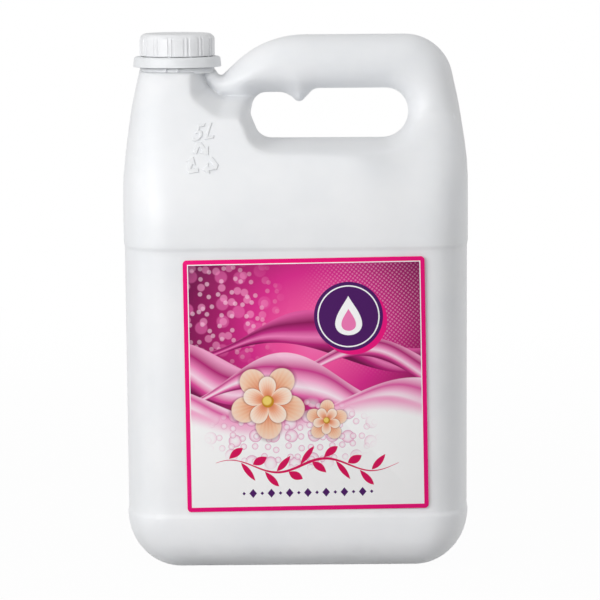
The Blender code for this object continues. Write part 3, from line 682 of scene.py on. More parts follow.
def loopCurve():
    # three bent arrows that chase each other round a triangle
    curve = bpy.data.curves.new("loop", "CURVE")
    curve.dimensions = "2D"
    curve.fill_mode = "BOTH"
    radius, half = marks["loopRadius"], marks["barWidth"] / 2
    for number in range(3):
        start = math.radians(90 + 120 * number)
        bend = Vector((math.cos(start), math.sin(start))) * radius
        heel = bend.lerp(Vector((math.cos(start + 2.094), math.sin(start + 2.094))) * radius, 0.36)
        tip = bend.lerp(Vector((math.cos(start - 2.094), math.sin(start - 2.094))) * radius, 0.5)
        wayIn, wayOut = (bend - heel).normalized(), (tip - bend).normalized()
        sideIn, sideOut = Vector((-wayIn.y, wayIn.x)), Vector((-wayOut.y, wayOut.x))
        base = tip - wayOut * half * 3.4
        outline = [heel - sideIn * half, bend - wayIn * radius * 0.2 - sideIn * half, bend + wayOut * radius * 0.2 - sideOut * half, base - sideOut * half, base - sideOut * half * 2.6, tip]
        outline += [base + sideOut * half * 2.6, base + sideOut * half, bend + wayOut * radius * 0.08 + sideOut * half, bend - wayIn * radius * 0.08 + sideIn * half, heel + sideIn * half]
        spline = curve.splines.new("POLY")
        spline.points.add(len(outline) - 1)
        spline.use_cyclic_u = True
        for point, place in zip(spline.points, outline):
            point.co = (place.x * mm, place.y * mm, 0, 1)
    return curve


def addMark(shell, skin, curve, x, z):
    # a mark with sloped sides, bent to the can's front and sunk in its wall
    slope = marks["slope"]
    curve.bevel_depth = slope * mm
    curve.extrude = (marks["proud"] + marks["sunk"] - 2 * slope) / 2 * mm
    curve.offset = -slope * 0.6 * mm
    item = newObject("mark", curve)
    bpy.context.view_layer.update()
    mesh = bpy.data.meshes.new_from_object(item.evaluated_get(bpy.context.evaluated_depsgraph_get()))
    bpy.data.objects.remove(item)
    flat = np.array([corner.co for corner in mesh.vertices]) / mm
    turn = math.radians(marks["turn"])
    across = flat[:, 0] * math.cos(turn) - flat[:, 1] * math.sin(turn) + x
    up = flat[:, 0] * math.sin(turn) + flat[:, 1] * math.cos(turn) + z
    _, depth, _ = skin.place(np.stack([across, up], axis=1))
    out = depth + flat[:, 2] + (marks["proud"] - marks["sunk"]) / 2
    for corner, *place in zip(mesh.vertices, across, -out, up):
        corner.co = Vector(place) * mm
    work = bmesh.new()
    work.from_mesh(shell.data)
    work.from_mesh(facesOut(mesh))
    work.to_mesh(shell.data)
    work.free()


addMark(canShell, canSkin, volumeCurve(), marks["x"], marks["volumeZ"])
addMark(canShell, canSkin, loopCurve(), marks["x"], marks["loopZ"])
smoothed(canShell, 34)
print("can:", len(canShell.data.polygons), "faces")


# Cap, with pads and ribs set round it by geometry nodes

cap = {
    "diameter": 41.8, "height": 12.4, "topWall": 1.6, "round": 3.0, "pads": 15, "padProud": 0.45,
    "padShare": 0.6, "ribShare": 0.12, "frontRib": 15.6, "steps": 180, "dish": 0.35,
}
ring = {"diameter": 49.0, "height": 5.7, "round": 1.6, "wall": 1.5, "bridges": 10, "bridgeWidth": 1.2, "steps": 144}
fitGap = 0.3
ringBottom = collarTop + fitGap + neck["collarRise"]
ringTop = ringBottom + ring["height"]
capBottom = ringTop + fitGap
capTop = capBottom + cap["height"]
capCore = cap["diameter"] / 2 - cap["padProud"]


def wallPiece(name, halfAngle, slope, low, high, topTurns, inner, proud):
    # one upright strip of the cap's wall, standing proud of it, its top rounded over
    sections = []
    levels = [(low, 0.0, 1.0)]
    levels += [(high - cap["round"] * (1 - math.sin(math.radians(t))), cap["round"] * (1 - math.cos(math.radians(t))), max(0.0, 1 - t / topTurns)) for t in (0, 10, 20, 30, 40, 50) if t <= topTurns]
    for z, drawIn, share in levels:
        ring = []
        outer = capCore + proud * share - drawIn
        foot = capCore - drawIn - inner
        spots = [(-1, foot), (-1, capCore - drawIn + proud * share * 0.35)]
        spots += [(side, outer) for side in np.linspace(-1 + slope, 1 - slope, 5)]
        spots += [(1, capCore - drawIn + proud * share * 0.35), (1, foot)]
        for side, radius in spots:
            ring.append((radius * math.cos(side * halfAngle), radius * math.sin(side * halfAngle), z))
        sections.append(ring)
    return newObject(name, loftMesh(name, sections))


def roundTree(name):
    # sets copies of a piece round an axis, then makes them real
    tree = bpy.data.node_groups.new(name, "GeometryNodeTree")
    side = tree.interface
    side.new_socket("Geometry", in_out="INPUT", socket_type="NodeSocketGeometry")
    for label, kind, value in (("Piece", "NodeSocketObject", None), ("Count", "NodeSocketInt", 15), ("First angle", "NodeSocketFloat", 0.0), ("Axis place", "NodeSocketVector", (0, 0, 0)), ("Finish", "NodeSocketMaterial", None)):
        socket = side.new_socket(label, in_out="INPUT", socket_type=kind)
        if value is not None:
            socket.default_value = value
    side.new_socket("Geometry", in_out="OUTPUT", socket_type="NodeSocketGeometry")
    given = addNode(tree, "NodeGroupInput")
    piece = addNode(tree, "GeometryNodeObjectInfo", {"Object": given.outputs["Piece"]})
    spots = addNode(tree, "GeometryNodePoints", {"Count": given.outputs["Count"], "Position": given.outputs["Axis place"]})
    share = addNode(tree, "DIVIDE", [addNode(tree, "GeometryNodeInputIndex"), given.outputs["Count"]])
    angle = addNode(tree, "MULTIPLY_ADD", [share, 2 * math.pi, given.outputs["First angle"]])
    turn = addNode(tree, "ShaderNodeCombineXYZ", {"Z": angle})
    copies = addNode(tree, "GeometryNodeInstanceOnPoints", {"Points": spots, "Instance": piece.outputs["Geometry"], "Rotation": turn})
    real = addNode(tree, "GeometryNodeRealizeInstances", [copies])
    finished = addNode(tree, "GeometryNodeSetMaterial", {"Geometry": real, "Material": given.outputs["Finish"]})
    addNode(tree, "NodeGroupOutput", [finished])
    return tree


def setRound(tree, name, piece, count, firstAngle, finish):
    # runs the tree on an empty mesh and keeps what it makes as a plain mesh
    item = newObject(name, bpy.data.meshes.new(name))
    modifier = item.modifiers.new("set round", "NODES")
    modifier.node_group = tree
    values = {"Piece": piece, "Count": count, "First angle": firstAngle, "Axis place": (neckX * mm, 0, 0), "Finish": finish}
    for socket in tree.interface.items_tree:
        if socket.in_out == "INPUT" and socket.name in values:
            modifier[socket.identifier] = values[socket.name]
    settled(item)
    bpy.data.objects.remove(piece)
    return item


def makeCap(tree, finish):
    edge = capCore - cap["round"]
    low, bore = capBottom, capBore / 2
    insideTop = capTop - cap["topWall"]
    profile = [(0, capTop - cap["dish"]), (edge * 0.72, capTop - cap["dish"]), (edge * 0.78, capTop - cap["dish"] * 0.4), (edge * 0.84, capTop)]
    profile += arc((edge, capTop - cap["round"]), cap["round"], 90, 0, 8)
    profile += [(capCore, low + 0.5), (capCore - 0.15, low + 0.1), (capCore - 0.3, low)]
    profile += [(bore + 0.35, low), (bore, low + 0.6), (bore, insideTop - 0.5), (bore - 0.5, insideTop), (0, insideTop)]
    shell = turned("capShell", profile, cap["steps"], neckX)
    halfPitch = math.pi / cap["pads"]
    firstRib = math.radians(-90 + cap["frontRib"])
    pad = wallPiece("pad", halfPitch * cap["padShare"], 0.12, low + 0.35, capTop, 45, 0.6, cap["padProud"])
    rib = wallPiece("rib", halfPitch * cap["ribShare"], 0.5, low + 0.35, capTop, 45, 0.6, cap["padProud"])
    joinSolid(shell, setRound(tree, "pads", pad, cap["pads"], firstRib + halfPitch, finish), "UNION")
    joinSolid(shell, setRound(tree, "ribs", rib, cap["pads"], firstRib, finish), "UNION")
    ridgeStart = threadStart + neck["pitch"] / 2 - 1.2
    joinSolid(shell, threadRidge("capThread", bore, -neck["threadDepth"], ridgeStart, 0.2 - 1.885, 48), "UNION")
    return shell


def makeRing(tree, finish):
    outer = ring["diameter"] / 2
    lip = neck["bead"] / 2 - 1.2
    clear = neck["bead"] / 2 + 0.45
    profile = [(clear, ringTop), (clear + 1.2, ringTop)]
    profile += arc((outer - 0.4 - ring["round"], ringTop - ring["round"]), ring["round"], 90, 0, 8)
    profile += [(outer - 0.05, ringBottom + 0.6), (outer, ringBottom + 0.4), (outer - 0.08, ringBottom + 0.12), (outer - 0.3, ringBottom)]
    profile += [(outer - ring["wall"], ringBottom), (outer - ring["wall"], ringBottom + 1.6), (clear + 0.9, ringBottom + 1.6), (clear + 0.9, ringBottom)]
    profile += [(lip, ringBottom), (lip, ringBottom + 1.6), (clear, ringBottom + 2.4)]
    shell = turned("tamperRing", profile, ring["steps"], neckX)
    # bridges stand on the ring and just reach the cap, which breaks away from them
    mid, wide, top = capCore - 0.8, ring["bridgeWidth"] / 2, capBottom - 0.02
    sections = [[(mid - 0.5, -w, z), (mid + 0.5, -w, z), (mid + 0.5, w, z), (mid - 0.5, w, z)] for z, w in ((ringTop - 0.4, wide), (ringTop + 0.1, wide), (top, wide * 0.6))]
    bridge = newObject("bridge", loftMesh("bridge", sections))
    return joinSolid(shell, setRound(tree, "bridges", bridge, ring["bridges"], 0.1, finish), "UNION")


# Label film, a rounded rectangle on the recessed front panel

label = {"width": 132.2, "height": 138.4, "x": 4.9, "z": 102.4, "tilt": 0.65, "corner": 2.2, "thickness": 0.2}


def makeLabel():
    wide, high, radius = label["width"] / 2, label["height"] / 2, label["corner"]
    outline = roundedPath([(-wide, -high, radius), (wide, -high, radius), (wide, high, radius), (-wide, high, radius)], 10, True)
    back = can["bodyDepth"] / 2 - can["panelStep"] + fitGap
    front = back + label["thickness"]
    middle = outline * (1 - 0.05 / wide)
    sections = [[(x, -y, z) for x, z in loop] for y, loop in ((back, outline), (front - 0.05, outline), (front, middle))]
    mesh = loftMesh("labelFilm", sections)
    turn = Matrix.Rotation(math.radians(-label["tilt"]), 4, "Y")
    mesh.transform(Matrix.Translation(Vector((label["x"], 0, label["z"])) * mm) @ turn)
    return newObject("labelFilm", mesh)


# Finishes

def objectPlace(tree, centre=(0, 0, 0), turn=(0, 0, 0), scale=(1, 1, 1)):
    # object coordinates about a centre in millimetres, turned in degrees, scaled
    coordinates = addNode(tree, "ShaderNodeTexCoord")
    moved = addNode(tree, "ShaderNodeMapping", {"Vector": coordinates.outputs["Object"], "Location": [-value * mm for value in centre]})
    turned = addNode(tree, "ShaderNodeMapping", {"Vector": moved, "Rotation": [math.radians(value) for value in turn], "Scale": [value / mm for value in scale]})
    return turned


def makeBlownPolyethylene():
    # blow moulded high density polyethylene: milky white, satin, with a faint orange
    # peel, broad thickness clouds and streaks along the way it was blown
    finish, shader, tree = newMaterial(
        "blow moulded white polyethylene", **{
            "IOR": 1.54, "Subsurface Weight": 0.12, "Subsurface Radius": (0.004, 0.004, 0.0045), "Subsurface Scale": 1.0,
            "Specular IOR Level": 0.42,
        })
    place = objectPlace(tree)
    clouds = addNode(tree, "ShaderNodeTexNoise", {"Vector": place, "Scale": 1 / 38, "Detail": 3.0, "Roughness": 0.55})
    tint = addNode(tree, "ShaderNodeValToRGB", [clouds.outputs["Fac"]], stops=[(0.3, "#ECEEF1"), (0.7, "#F3F4F6")])
    tree.links.new(tint.outputs["Color"], shader.inputs["Base Color"])
    dull = addNode(tree, "ShaderNodeMapRange", {0: clouds.outputs["Fac"], 1: 0.3, 2: 0.7, 3: 0.36, 4: 0.46})
    tree.links.new(dull.outputs[0], shader.inputs["Roughness"])
    peel = addNode(tree, "ShaderNodeTexNoise", {"Vector": place, "Scale": 1 / 2.4, "Detail": 2.0, "Roughness": 0.5})
    grain = addNode(tree, "ShaderNodeTexNoise", {"Vector": place, "Scale": 1 / 0.5, "Detail": 1.0, "Roughness": 0.5})
    draw = addNode(tree, "ShaderNodeMapping", {"Vector": place, "Scale": (1 / 7, 1 / 7, 1 / 160)})
    streaks = addNode(tree, "ShaderNodeTexNoise", {"Vector": draw, "Scale": 1.0, "Detail": 2.0, "Roughness": 0.4})
    rough = addNode(tree, "MULTIPLY_ADD", [grain.outputs["Fac"], 0.25, peel.outputs["Fac"]])
    height = addNode(tree, "MULTIPLY_ADD", [streaks.outputs["Fac"], 0.9, rough])
    bump = addNode(tree, "ShaderNodeBump", {"Strength": 0.35, "Distance": 0.03 * mm, "Height": height})
    tree.links.new(bump.outputs[0], shader.inputs["Normal"])
    return finish


def makeMouldedPlastic(name, codes, roughness, grainSize, grainDepth):
    # injection moulded polypropylene: whiter and a little glossier, finely eroded
    finish, shader, tree = newMaterial(name, **{"IOR": 1.5, "Subsurface Weight": 0.08, "Subsurface Radius": (0.002, 0.002, 0.002), "Subsurface Scale": 1.0})
    place = objectPlace(tree)
    clouds = addNode(tree, "ShaderNodeTexNoise", {"Vector": place, "Scale": 1 / 9, "Detail": 2.0, "Roughness": 0.5})
    tint = addNode(tree, "ShaderNodeValToRGB", [clouds.outputs["Fac"]], stops=[(0.35, codes[0]), (0.65, codes[1])])
    tree.links.new(tint.outputs["Color"], shader.inputs["Base Color"])
    dull = addNode(tree, "ShaderNodeMapRange", {0: clouds.outputs["Fac"], 1: 0.3, 2: 0.7, 3: roughness, 4: roughness + 0.08})
    tree.links.new(dull.outputs[0], shader.inputs["Roughness"])
    grain = addNode(tree, "ShaderNodeTexNoise", {"Vector": place, "Scale": 1 / grainSize, "Detail": 2.0, "Roughness": 0.6})
    bump = addNode(tree, "ShaderNodeBump", {"Strength": 0.4, "Distance": grainDepth * mm, "Height": grain.outputs["Fac"]})
    tree.links.new(bump.outputs[0], shader.inputs["Normal"])
    return finish


def makeSoap():
    # pearly liquid soap: slow swirls of pearl pigment under a wet surface
    finish, shader, tree = newMaterial("pearly liquid soap", **{"Roughness": 0.08, "IOR": 1.37, "Coat Weight": 0.4, "Subsurface Weight": 0.3, "Subsurface Radius": (0.006, 0.003, 0.004), "Subsurface Scale": 1.0})
    place = objectPlace(tree)
    swirl = addNode(tree, "ShaderNodeTexNoise", {"Vector": place, "Scale": 1 / 30, "Detail": 4.0, "Distortion": 2.4})
    tint = addNode(tree, "ShaderNodeValToRGB", [swirl.outputs["Fac"]], stops=[(0.35, "#D9608E"), (0.55, "#EE93B4"), (0.65, "#F8C3D5")])
    tree.links.new(tint.outputs["Color"], shader.inputs["Base Color"])
    return finish


def makeFoam():
    # foamed polyethylene wad: matt, with closed cells of a third of a millimetre
    finish, shader, tree = newMaterial("foamed polyethylene wad", **{"Roughness": 0.75, "IOR": 1.5})
    place = objectPlace(tree)
    cells = addNode(tree, "ShaderNodeTexVoronoi", {"Vector": place, "Scale": 1 / 0.35})
    tint = addNode(tree, "ShaderNodeValToRGB", [cells.outputs["Distance"]], stops=[(0.1, "#DDE1E1"), (0.7, "#F2F4F4")])
    tree.links.new(tint.outputs["Color"], shader.inputs["Base Color"])
    bump = addNode(tree, "ShaderNodeBump", {"Strength": 0.5, "Distance": 0.08 * mm, "Height": cells.outputs["Distance"]})
    tree.links.new(bump.outputs[0], shader.inputs["Normal"])
    return finish


# What is printed on the label, in millimetres from its middle

printed = {
    "border": 2.4, "hairline": 0.5, "inks": {"frame": "#F0057A", "white": "#FFFFFF", "violet": "#4C1663", "crimson": "#DB0A5B"},
    "glow": (6.0, 26.0), "meshPitch": 1.7, "meshAt": (40.0, 46.0), "lightsAt": (-46.0, 42.0),
    "seal": (24.0, 37.0, 19.0),
    "blossoms": ((-21.0, -9.0, 21.0, 0.3), (11.0, -20.0, 11.5, 1.0)),
    "latherAt": (-8.0, -27.0), "vineZ": -44.5, "rowZ": -59.5,
}


def makePrint():
    # gravure printed film with a satin varnish: saturated inks, a broad low highlight
    finish, shader, tree = newMaterial("gravure printed label film", **{"Roughness": 0.42, "IOR": 1.5, "Specular IOR Level": 0.16})
    place = objectPlace(tree, (label["x"], 0, label["z"]), (0, label["tilt"], 0))
    parts = addNode(tree, "ShaderNodeSeparateXYZ", [place])
    flat = addNode(tree, "ShaderNodeCombineXYZ", [parts.outputs["X"], parts.outputs["Z"], 0.0])
    inks = printed["inks"]
    layers = []

    def sums(*rows):
        # each row names a sum of numbers and of what earlier rows gave; the last is the answer
        known = {"u": parts.outputs["X"], "v": parts.outputs["Z"]}
        for name, kind, *values in rows:
            known[name] = addNode(tree, kind, [known.get(value, value) if isinstance(value, str) else value for value in values])
        return known[rows[-1][0]]

    def wavy(name, middle, height, length, shift):
        # rows for how far a point lies above a wavy line
        return (
            (name + "Turn", "MULTIPLY_ADD", "u", 2 * math.pi / length, shift), (name + "Sine", "SINE", name + "Turn"),
            (name + "Line", "MULTIPLY_ADD", name + "Sine", height, middle), (name, "SUBTRACT", "v", name + "Line"),
        )

    def away(x, z):
        # rows for the distance to a place
        return (("dx", "SUBTRACT", "u", x), ("dz", "SUBTRACT", "v", z), ("xx", "MULTIPLY", "dx", "dx"), ("sum", "MULTIPLY_ADD", "dz", "dz", "xx"), ("far", "SQRT", "sum"))

    # the ground: a glow that darkens to the corners
    glow = sums(*away(*printed["glow"]), ("share", "DIVIDE", "far", 80.0))
    picture = addNode(tree, "ShaderNodeValToRGB", [glow], stops=[(0.0, "#FA7DBE"), (0.2, "#F4559F"), (0.45, "#D92A8B"), (0.7, "#A31866"), (1.0, "#5C0A40")])
    # a fine mesh of light dots at the upper right
    pitch = math.pi / printed["meshPitch"]
    lattice = addNode(tree, "ShaderNodeMapping", {"Vector": flat, "Rotation": (0, 0, math.radians(38)), "Scale": (pitch, pitch, 1)})
    grid = addNode(tree, "ShaderNodeSeparateXYZ", [lattice])
    layers.append(("#FFC3E2", sums(
        ("a", "SINE", grid.outputs["X"]), ("b", "SINE", grid.outputs["Y"]), ("ab", "MULTIPLY", "a", "b"), ("dot", "ABSOLUTE", "ab"), ("mesh", "SMOOTHSTEP", "dot", 0.35, 0.75),
        *away(*printed["meshAt"]), ("near", "SMOOTHSTEP", "far", 46.0, 12.0), ("both", "MULTIPLY", "mesh", "near"), ("amount", "MULTIPLY", "both", 0.34),
    )))
    # soft round lights of three sizes at the upper left
    for size, share, shade, amount in ((13.0, 0.3, "#F06FB4", 0.5), (8.5, 0.28, "#FF9FD0", 0.5), (6.0, 0.24, "#FFD3E9", 0.5)):
        cells = addNode(tree, "ShaderNodeTexVoronoi", {"Vector": flat, "Scale": 1 / size, "Randomness": 0.85}, voronoi_dimensions="2D")
        layers.append((shade, sums(
            ("disc", "SMOOTHSTEP", cells.outputs["Distance"], share, share - 0.08), *away(*printed["lightsAt"]),
            ("near", "SMOOTHSTEP", "far", 40.0, 12.0), ("both", "MULTIPLY", "disc", "near"), ("amount", "MULTIPLY", "both", amount),
        )))
    # satin bands, each between two wavy lines, with folds that run along it
    for low, high, shades in (
        ((14.0, 9.0, 150.0, 2.3), (30.0, 11.0, 118.0, 1.5), ("#6E0D48", "#B81F78", "#F07FBB", "#C62C86", "#8C1259", "#E35BA3")),
        ((2.0, 13.0, 132.0, 0.2), (15.0, 10.0, 108.0, -0.5), ("#8A1359", "#E04A9B", "#FFD9EC", "#EE83BB", "#B32274", "#F6A9D0")),
        ((-12.0, 10.0, 140.0, 2.9), (4.0, 14.0, 122.0, 2.2), ("#A01B68", "#EB6DB0", "#FFEAF5", "#F7A5CE", "#CC3A8C", "#FCC6E0")),
        ((-19.0, 8.0, 126.0, -0.2), (-8.0, 11.0, 150.0, -0.9), ("#C93787", "#F183BC", "#FFF4FA", "#F9B7D8", "#E05CA3", "#FFD6EA")),
    ):
        across = sums(
            *wavy("low", *low), *wavy("high", *high), ("wide", "SUBTRACT", "low", "high"), ("across", "DIVIDE", "low", "wide"),
            ("sway", "MULTIPLY_ADD", "u", 0.11, low[3]), ("swing", "SINE", "sway"), ("fold", "MULTIPLY_ADD", "swing", 0.09, "across"),
        )
        satin = addNode(tree, "ShaderNodeValToRGB", [across], stops=list(zip((0.0, 0.15, 0.33, 0.52, 0.72, 1.0), shades)))
        layers.append((satin, sums(
            *wavy("low", *low), *wavy("high", *high), ("under", "MULTIPLY", "high", -1.0), ("depth", "MINIMUM", "low", "under"), ("amount", "SMOOTHSTEP", "depth", 0.0, 0.5),
        )))
    # the lower part fades by pink to the white of the film
    for shade, start, stop in (("#F9A9D0", 4.0, -3.0), (inks["white"], 0.5, -9.0)):
        layers.append((shade, sums(*wavy("edge", -15.0, 7.0, 132.0, -0.35), ("amount", "SMOOTHSTEP", "edge", start, stop))))
    # lather: clear bubbles of two sizes
    for size, rim in ((11.0, 0.33), (6.0, 0.3)):
        cells = addNode(tree, "ShaderNodeTexVoronoi", {"Vector": flat, "Scale": 1 / size, "Randomness": 0.55}, voronoi_dimensions="2D")
        sheen = addNode(tree, "ShaderNodeValToRGB", [cells.outputs["Distance"]], stops=[(0.0, "#FFFFFF"), (rim * 0.6, "#FDE6F1"), (rim * 0.85, "#F3B4D3"), (rim * 0.97, "#C9659B")])
        layers.append((sheen, sums(
            ("disc", "SMOOTHSTEP", cells.outputs["Distance"], rim, rim - 0.02), ("flat", "SUBTRACT", "v", printed["latherAt"][1]), ("tall", "MULTIPLY", "flat", 2.3), ("side", "SUBTRACT", "u", printed["latherAt"][0]),
            ("ss", "MULTIPLY", "side", "side"), ("all", "MULTIPLY_ADD", "tall", "tall", "ss"), ("out", "SQRT", "all"), ("near", "SMOOTHSTEP", "out", 50.0, 34.0), ("both", "MULTIPLY", "disc", "near"), ("amount", "MULTIPLY", "both", 0.8),
        )))
    # blossoms in peach and cream: two rings of five petals with fine veins
    for x, z, reach, turn in printed["blossoms"]:
        for grown, lean, shades in ((1.0, 0.0, ("#B9503A", "#E88E68", "#F9C8A6", "#FBDCC6")), (0.66, 0.63, ("#CC5F40", "#F2A27C", "#FFDCC4", "#FFEEDF"))):
            petal = (
                *away(x, z), ("angle", "ARCTAN2", "dz", "dx"), ("five", "MULTIPLY_ADD", "angle", 2.5, (turn + lean) * 2.5), ("wave", "COSINE", "five"), ("size", "ABSOLUTE", "wave"),
                ("full", "POWER", "size", 0.5), ("edge", "MULTIPLY_ADD", "full", 0.66 * reach * grown, 0.34 * reach * grown), ("share", "DIVIDE", "far", "edge"),
            )
            tone = sums(*petal, ("many", "MULTIPLY", "angle", 45.0), ("vein", "SINE", "many"), ("shade", "MULTIPLY_ADD", "vein", 0.035, "share"))
            layers.append(("#7A2E3B", sums(*petal, ("halo", "SMOOTHSTEP", "share", 1.12, 0.98), ("amount", "MULTIPLY", "halo", 0.45))))
            layers.append((addNode(tree, "ShaderNodeValToRGB", [tone], stops=list(zip((0.1, 0.4, 0.75, 0.97), shades))), sums(*petal, ("amount", "SMOOTHSTEP", "share", 1.0, 0.97))))
        layers.append(("#C78A1E", sums(*away(x, z), ("amount", "SMOOTHSTEP", "far", 0.17 * reach, 0.15 * reach))))
        layers.append(("#F6D873", sums(*away(x - 0.02 * reach, z + 0.02 * reach), ("amount", "SMOOTHSTEP", "far", 0.14 * reach, 0.09 * reach))))
    # a round violet seal with a white drop, on a magenta disc and its shadow
    x, z, reach = printed["seal"]
    for dx, dz, radius, soft, shade, amount in (
        (1.6, -2.2, reach + 0.8, 2.4, "#3D0428", 0.55), (2.2, -2.2, reach, 0.25, "#EE0F80", 1.0), (0.0, 0.0, reach, 0.25, inks["violet"], 1.0),
        (0.0, 0.0, reach - 1.9, 0.2, inks["white"], 1.0), (0.0, 0.0, reach - 2.6, 0.2, inks["violet"], 1.0),
    ):
        layers.append((shade, sums(*away(x + dx, z + dz), ("disc", "SMOOTHSTEP", "far", radius, radius - soft), ("amount", "MULTIPLY", "disc", amount))))
    for base, tall, wide, shade in ((z - 10.4, 22.0, 7.6, inks["white"]), (z - 8.0, 12.5, 4.2, "#F27DB8")):
        layers.append((shade, sums(
            ("up", "SUBTRACT", "v", base), ("t", "DIVIDE", "up", tall), ("low", "MAXIMUM", "t", 0.0), ("root", "SQRT", "low"), ("rest", "SUBTRACT", 1.0, "t"), ("kept", "MAXIMUM", "rest", 0.0), ("taper", "POWER", "kept", 1.25),
            ("shape", "MULTIPLY", "root", "taper"), ("half", "MULTIPLY", "shape", wide / 0.356), ("dx", "SUBTRACT", "u", x), ("ax", "ABSOLUTE", "dx"), ("in", "SUBTRACT", "half", "ax"), ("amount", "SMOOTHSTEP", "in", 0.0, 0.3),
        )))
    # a crimson vine with leaves on both sides
    stem = ("stemTurn", "MULTIPLY_ADD", "u", 2 * math.pi / 52.0, 0.4), ("stemSine", "SINE", "stemTurn"), ("stemLine", "MULTIPLY_ADD", "stemSine", 3.6, printed["vineZ"]), ("off", "SUBTRACT", "v", "stemLine")
    ends = ("side", "ABSOLUTE", "u"), ("end", "SMOOTHSTEP", "side", 50.5, 49.5)
    layers.append((inks["crimson"], sums(
        *stem, *ends, ("gap", "ABSOLUTE", "off"), ("thin", "MULTIPLY_ADD", "side", -0.014, 0.95), ("over", "SUBTRACT", "thin", "gap"), ("line", "SMOOTHSTEP", "over", 0.0, 0.25), ("amount", "MULTIPLY", "line", "end"),
    )))
    for shift, side, last in ((0.0, 1, 45.5), (6.5, -1, 39.0)):
        length, wide = 5.4, 2.0
        cosine, sine = math.cos(0.75 * side), math.sin(0.75 * side)
        layers.append((inks["crimson"], sums(
            *stem, ("side", "ABSOLUTE", "u"), ("end", "SMOOTHSTEP", "side", last, last - 0.1), ("moved", "ADD", "u", shift), ("du", "WRAP", "moved", 6.5, -6.5), ("dv", "SUBTRACT", "off", side * length * 0.78),
            ("pu", "MULTIPLY", "du", cosine), ("p", "MULTIPLY_ADD", "dv", sine, "pu"), ("qu", "MULTIPLY", "du", -sine), ("q", "MULTIPLY_ADD", "dv", cosine, "qu"),
            ("ps", "DIVIDE", "p", length), ("pp", "MULTIPLY", "ps", "ps"), ("bulge", "MULTIPLY_ADD", "pp", -wide, wide), ("aq", "ABSOLUTE", "q"), ("in", "SUBTRACT", "bulge", "aq"),
            ("leaf", "SMOOTHSTEP", "in", 0.0, 0.25), ("amount", "MULTIPLY", "leaf", "end"),
        )))
    # a row of violet diamonds with dots between them
    for shift, tall, wide, last in ((0.0, 2.5, 2.1, 34.0), (5.0, 1.0, 1.0, 36.0)):
        layers.append((inks["violet"], sums(
            ("side", "ABSOLUTE", "u"), ("end", "SMOOTHSTEP", "side", last, last - 0.5), ("moved", "ADD", "u", shift), ("du", "WRAP", "moved", 5.0, -5.0), ("au", "ABSOLUTE", "du"), ("su", "DIVIDE", "au", wide),
            ("dv", "SUBTRACT", "v", printed["rowZ"]), ("av", "ABSOLUTE", "dv"), ("sv", "DIVIDE", "av", tall), ("both", "ADD", "su", "sv"), ("in", "SMOOTHSTEP", "both", 1.05, 0.95), ("amount", "MULTIPLY", "in", "end"),
        )))
    # the frame: a white hairline, then the magenta border
    outside = (
        ("ax", "ABSOLUTE", "u"), ("ox", "SUBTRACT", "ax", label["width"] / 2), ("az", "ABSOLUTE", "v"), ("oz", "SUBTRACT", "az", label["height"] / 2), ("far", "MAXIMUM", "ox", "oz"),
    )
    for ink, depth in ((inks["white"], printed["border"] + printed["hairline"]), (inks["frame"], printed["border"])):
        layers.append((ink, sums(*outside, ("amount", "SMOOTHSTEP", "far", -depth - 0.1, -depth + 0.1))))
    for paint, amount in layers:
        picture = addNode(tree, "ShaderNodeMix", {0: amount, 6: picture, 7: linear(paint) if isinstance(paint, str) else paint}, data_type="RGBA").outputs[2]
    tree.links.new(picture, shader.inputs["Base Color"])
    ripple = addNode(tree, "ShaderNodeTexNoise", {"Vector": place, "Scale": 1 / 14, "Detail": 2.0, "Roughness": 0.4})
    bump = addNode(tree, "ShaderNodeBump", {"Strength": 0.3, "Distance": 0.05 * mm, "Height": ripple.outputs["Fac"]})
    tree.links.new(bump.outputs[0], shader.inputs["Normal"])
    return finish


blownWhite = makeBlownPolyethylene()
capWhite = makeMouldedPlastic("injection moulded white polypropylene", ("#E8E9EB", "#EEEFF1"), 0.34, 0.4, 0.015)
ringWhite = makeMouldedPlastic("injection moulded ring polypropylene", ("#E3E5E7", "#EAECEE"), 0.4, 0.5, 0.02)
repeatRound = roundTree("set pieces round an axis")
capShell = smoothed(makeCap(repeatRound, capWhite), 30)
tamperRing = smoothed(makeRing(repeatRound, ringWhite), 30)
labelFilm = smoothed(makeLabel(), 40)
print("cap, ring and label made")

for piece, finish, body, node in (
    (canShell, blownWhite, "bottle", "bottle"),
    (labelFilm, makePrint(), "bottle", "label"),
    (tamperRing, ringWhite, "bottle", "tamper_ring"),
    (capShell, capWhite, "cap", "cap"),
):
    piece.data.materials.clear()
    piece.data.materials.append(finish)
    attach(piece, body)
    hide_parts(node)
for node, finish in (("cap_liner", makeFoam()), ("liquid_soap", makeSoap())):
    solid = frame["nodes"][node].data
    solid.materials.clear()
    solid.materials.append(finish)
print("finishes given")


# Floor, light and camera

floor = {"size": 60.0, "colour": "#C2C2C2", "nearGlow": 0.975, "fadeStart": 0.35, "fadeEnd": 1.6}
lights = {
    "key": {"at": (-0.58, -0.79, 0.45), "size": 0.5, "power": 4.35, "hex": "#FFFFFF"},
    "left": {"at": (-1.0, -0.5, 1.2), "size": 0.8, "power": 1.3, "hex": "#FFFFFF"},
    "rim": {"at": (1.2, 0.6, 0.5), "size": 0.8, "power": 0.9, "hex": "#FFFFFF"},
}
worldStrength = 0.635
camera = {"at": (0.003, -3.3, 0.43), "aim": (0.002, 0.0, 0.1431), "lens": 356.5, "roll": -0.43}


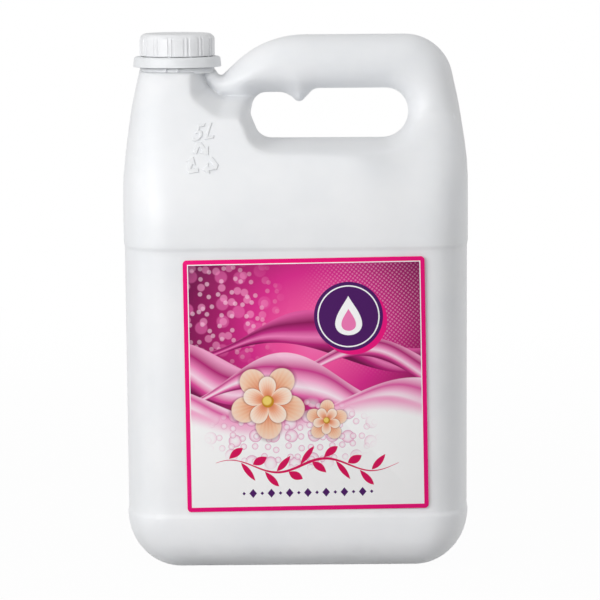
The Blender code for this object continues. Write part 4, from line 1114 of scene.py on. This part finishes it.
def makeFloor():
    side = floor["size"] / 2 / mm
    mesh = meshOf("floor", [(-side, -side, -0.4), (side, -side, -0.4), (side, side, -0.4), (-side, side, -0.4)], [(0, 1, 2, 3)])
    item = newObject("floor", mesh)
    finish, shader, tree = newMaterial("matt white studio floor", **{"Base Color": linear(floor["colour"]), "Roughness": 0.9, "Specular IOR Level": 0.1})
    path = addNode(tree, "ShaderNodeLightPath")
    seen = addNode(tree, "MAXIMUM", [path.outputs["Is Camera Ray"], path.outputs["Is Glossy Ray"]])
    seen = addNode(tree, "MAXIMUM", [seen, path.outputs["Is Transmission Ray"]])
    place = addNode(tree, "ShaderNodeTexCoord")
    far = addNode(tree, "ShaderNodeVectorMath", [place.outputs["Object"]], operation="LENGTH")
    shown = addNode(tree, "ShaderNodeMapRange", {0: far.outputs["Value"], 1: floor["fadeStart"], 2: floor["fadeEnd"], 3: floor["nearGlow"], 4: 1.0}, interpolation_type="SMOOTHSTEP")
    glow = addNode(tree, "ShaderNodeEmission", {"Color": (1, 1, 1, 1), "Strength": 1.0})
    mixed = addNode(tree, "ShaderNodeMixShader", {0: addNode(tree, "MULTIPLY", [seen, shown.outputs[0]]), 1: shader.outputs[0], 2: glow})
    tree.links.new(mixed.outputs[0], tree.nodes["Material Output"].inputs["Surface"])
    mesh.materials.append(finish)


def makeWorld():
    world = bpy.data.worlds.new("studio")
    bpy.context.scene.world = world
    world.use_nodes = True
    tree = world.node_tree
    path = addNode(tree, "ShaderNodeLightPath")
    seen = addNode(tree, "MAXIMUM", [path.outputs["Is Camera Ray"], path.outputs["Is Transmission Ray"]])
    strength = addNode(tree, "ShaderNodeMapRange", {0: seen, 3: worldStrength, 4: 1.0})
    background = tree.nodes["Background"]
    background.inputs["Color"].default_value = (1, 1, 1, 1)
    tree.links.new(strength.outputs[0], background.inputs["Strength"])


def aimed(item, place, target, roll=0.0):
    item.location = place
    way = (Vector(target) - Vector(place)).to_track_quat("-Z", "Y").to_matrix().to_4x4()
    item.rotation_euler = (way @ Matrix.Rotation(math.radians(roll), 4, "Z")).to_euler()


makeFloor()
makeWorld()
for name, values in lights.items():
    lamp = bpy.data.lights.new(name, "AREA")
    lamp.shape, lamp.size, lamp.energy = "SQUARE", values["size"], values["power"]
    lamp.color = linear(values["hex"])[:3]
    item = bpy.data.objects.new(name, lamp)
    bpy.context.scene.collection.objects.link(item)
    aimed(item, values["at"], (0, 0, 0.14))
lensView = bpy.data.cameras.new("camera")
lensView.lens = camera["lens"]
lensView.sensor_width = 36.0
lensView.clip_end = 100.0
viewer = bpy.data.objects.new("camera", lensView)
bpy.context.scene.collection.objects.link(viewer)
aimed(viewer, camera["at"], camera["aim"], camera["roll"])
bpy.context.scene.camera = viewer
bpy.context.scene.view_settings.view_transform = "Standard"
print("floor, light and camera set")
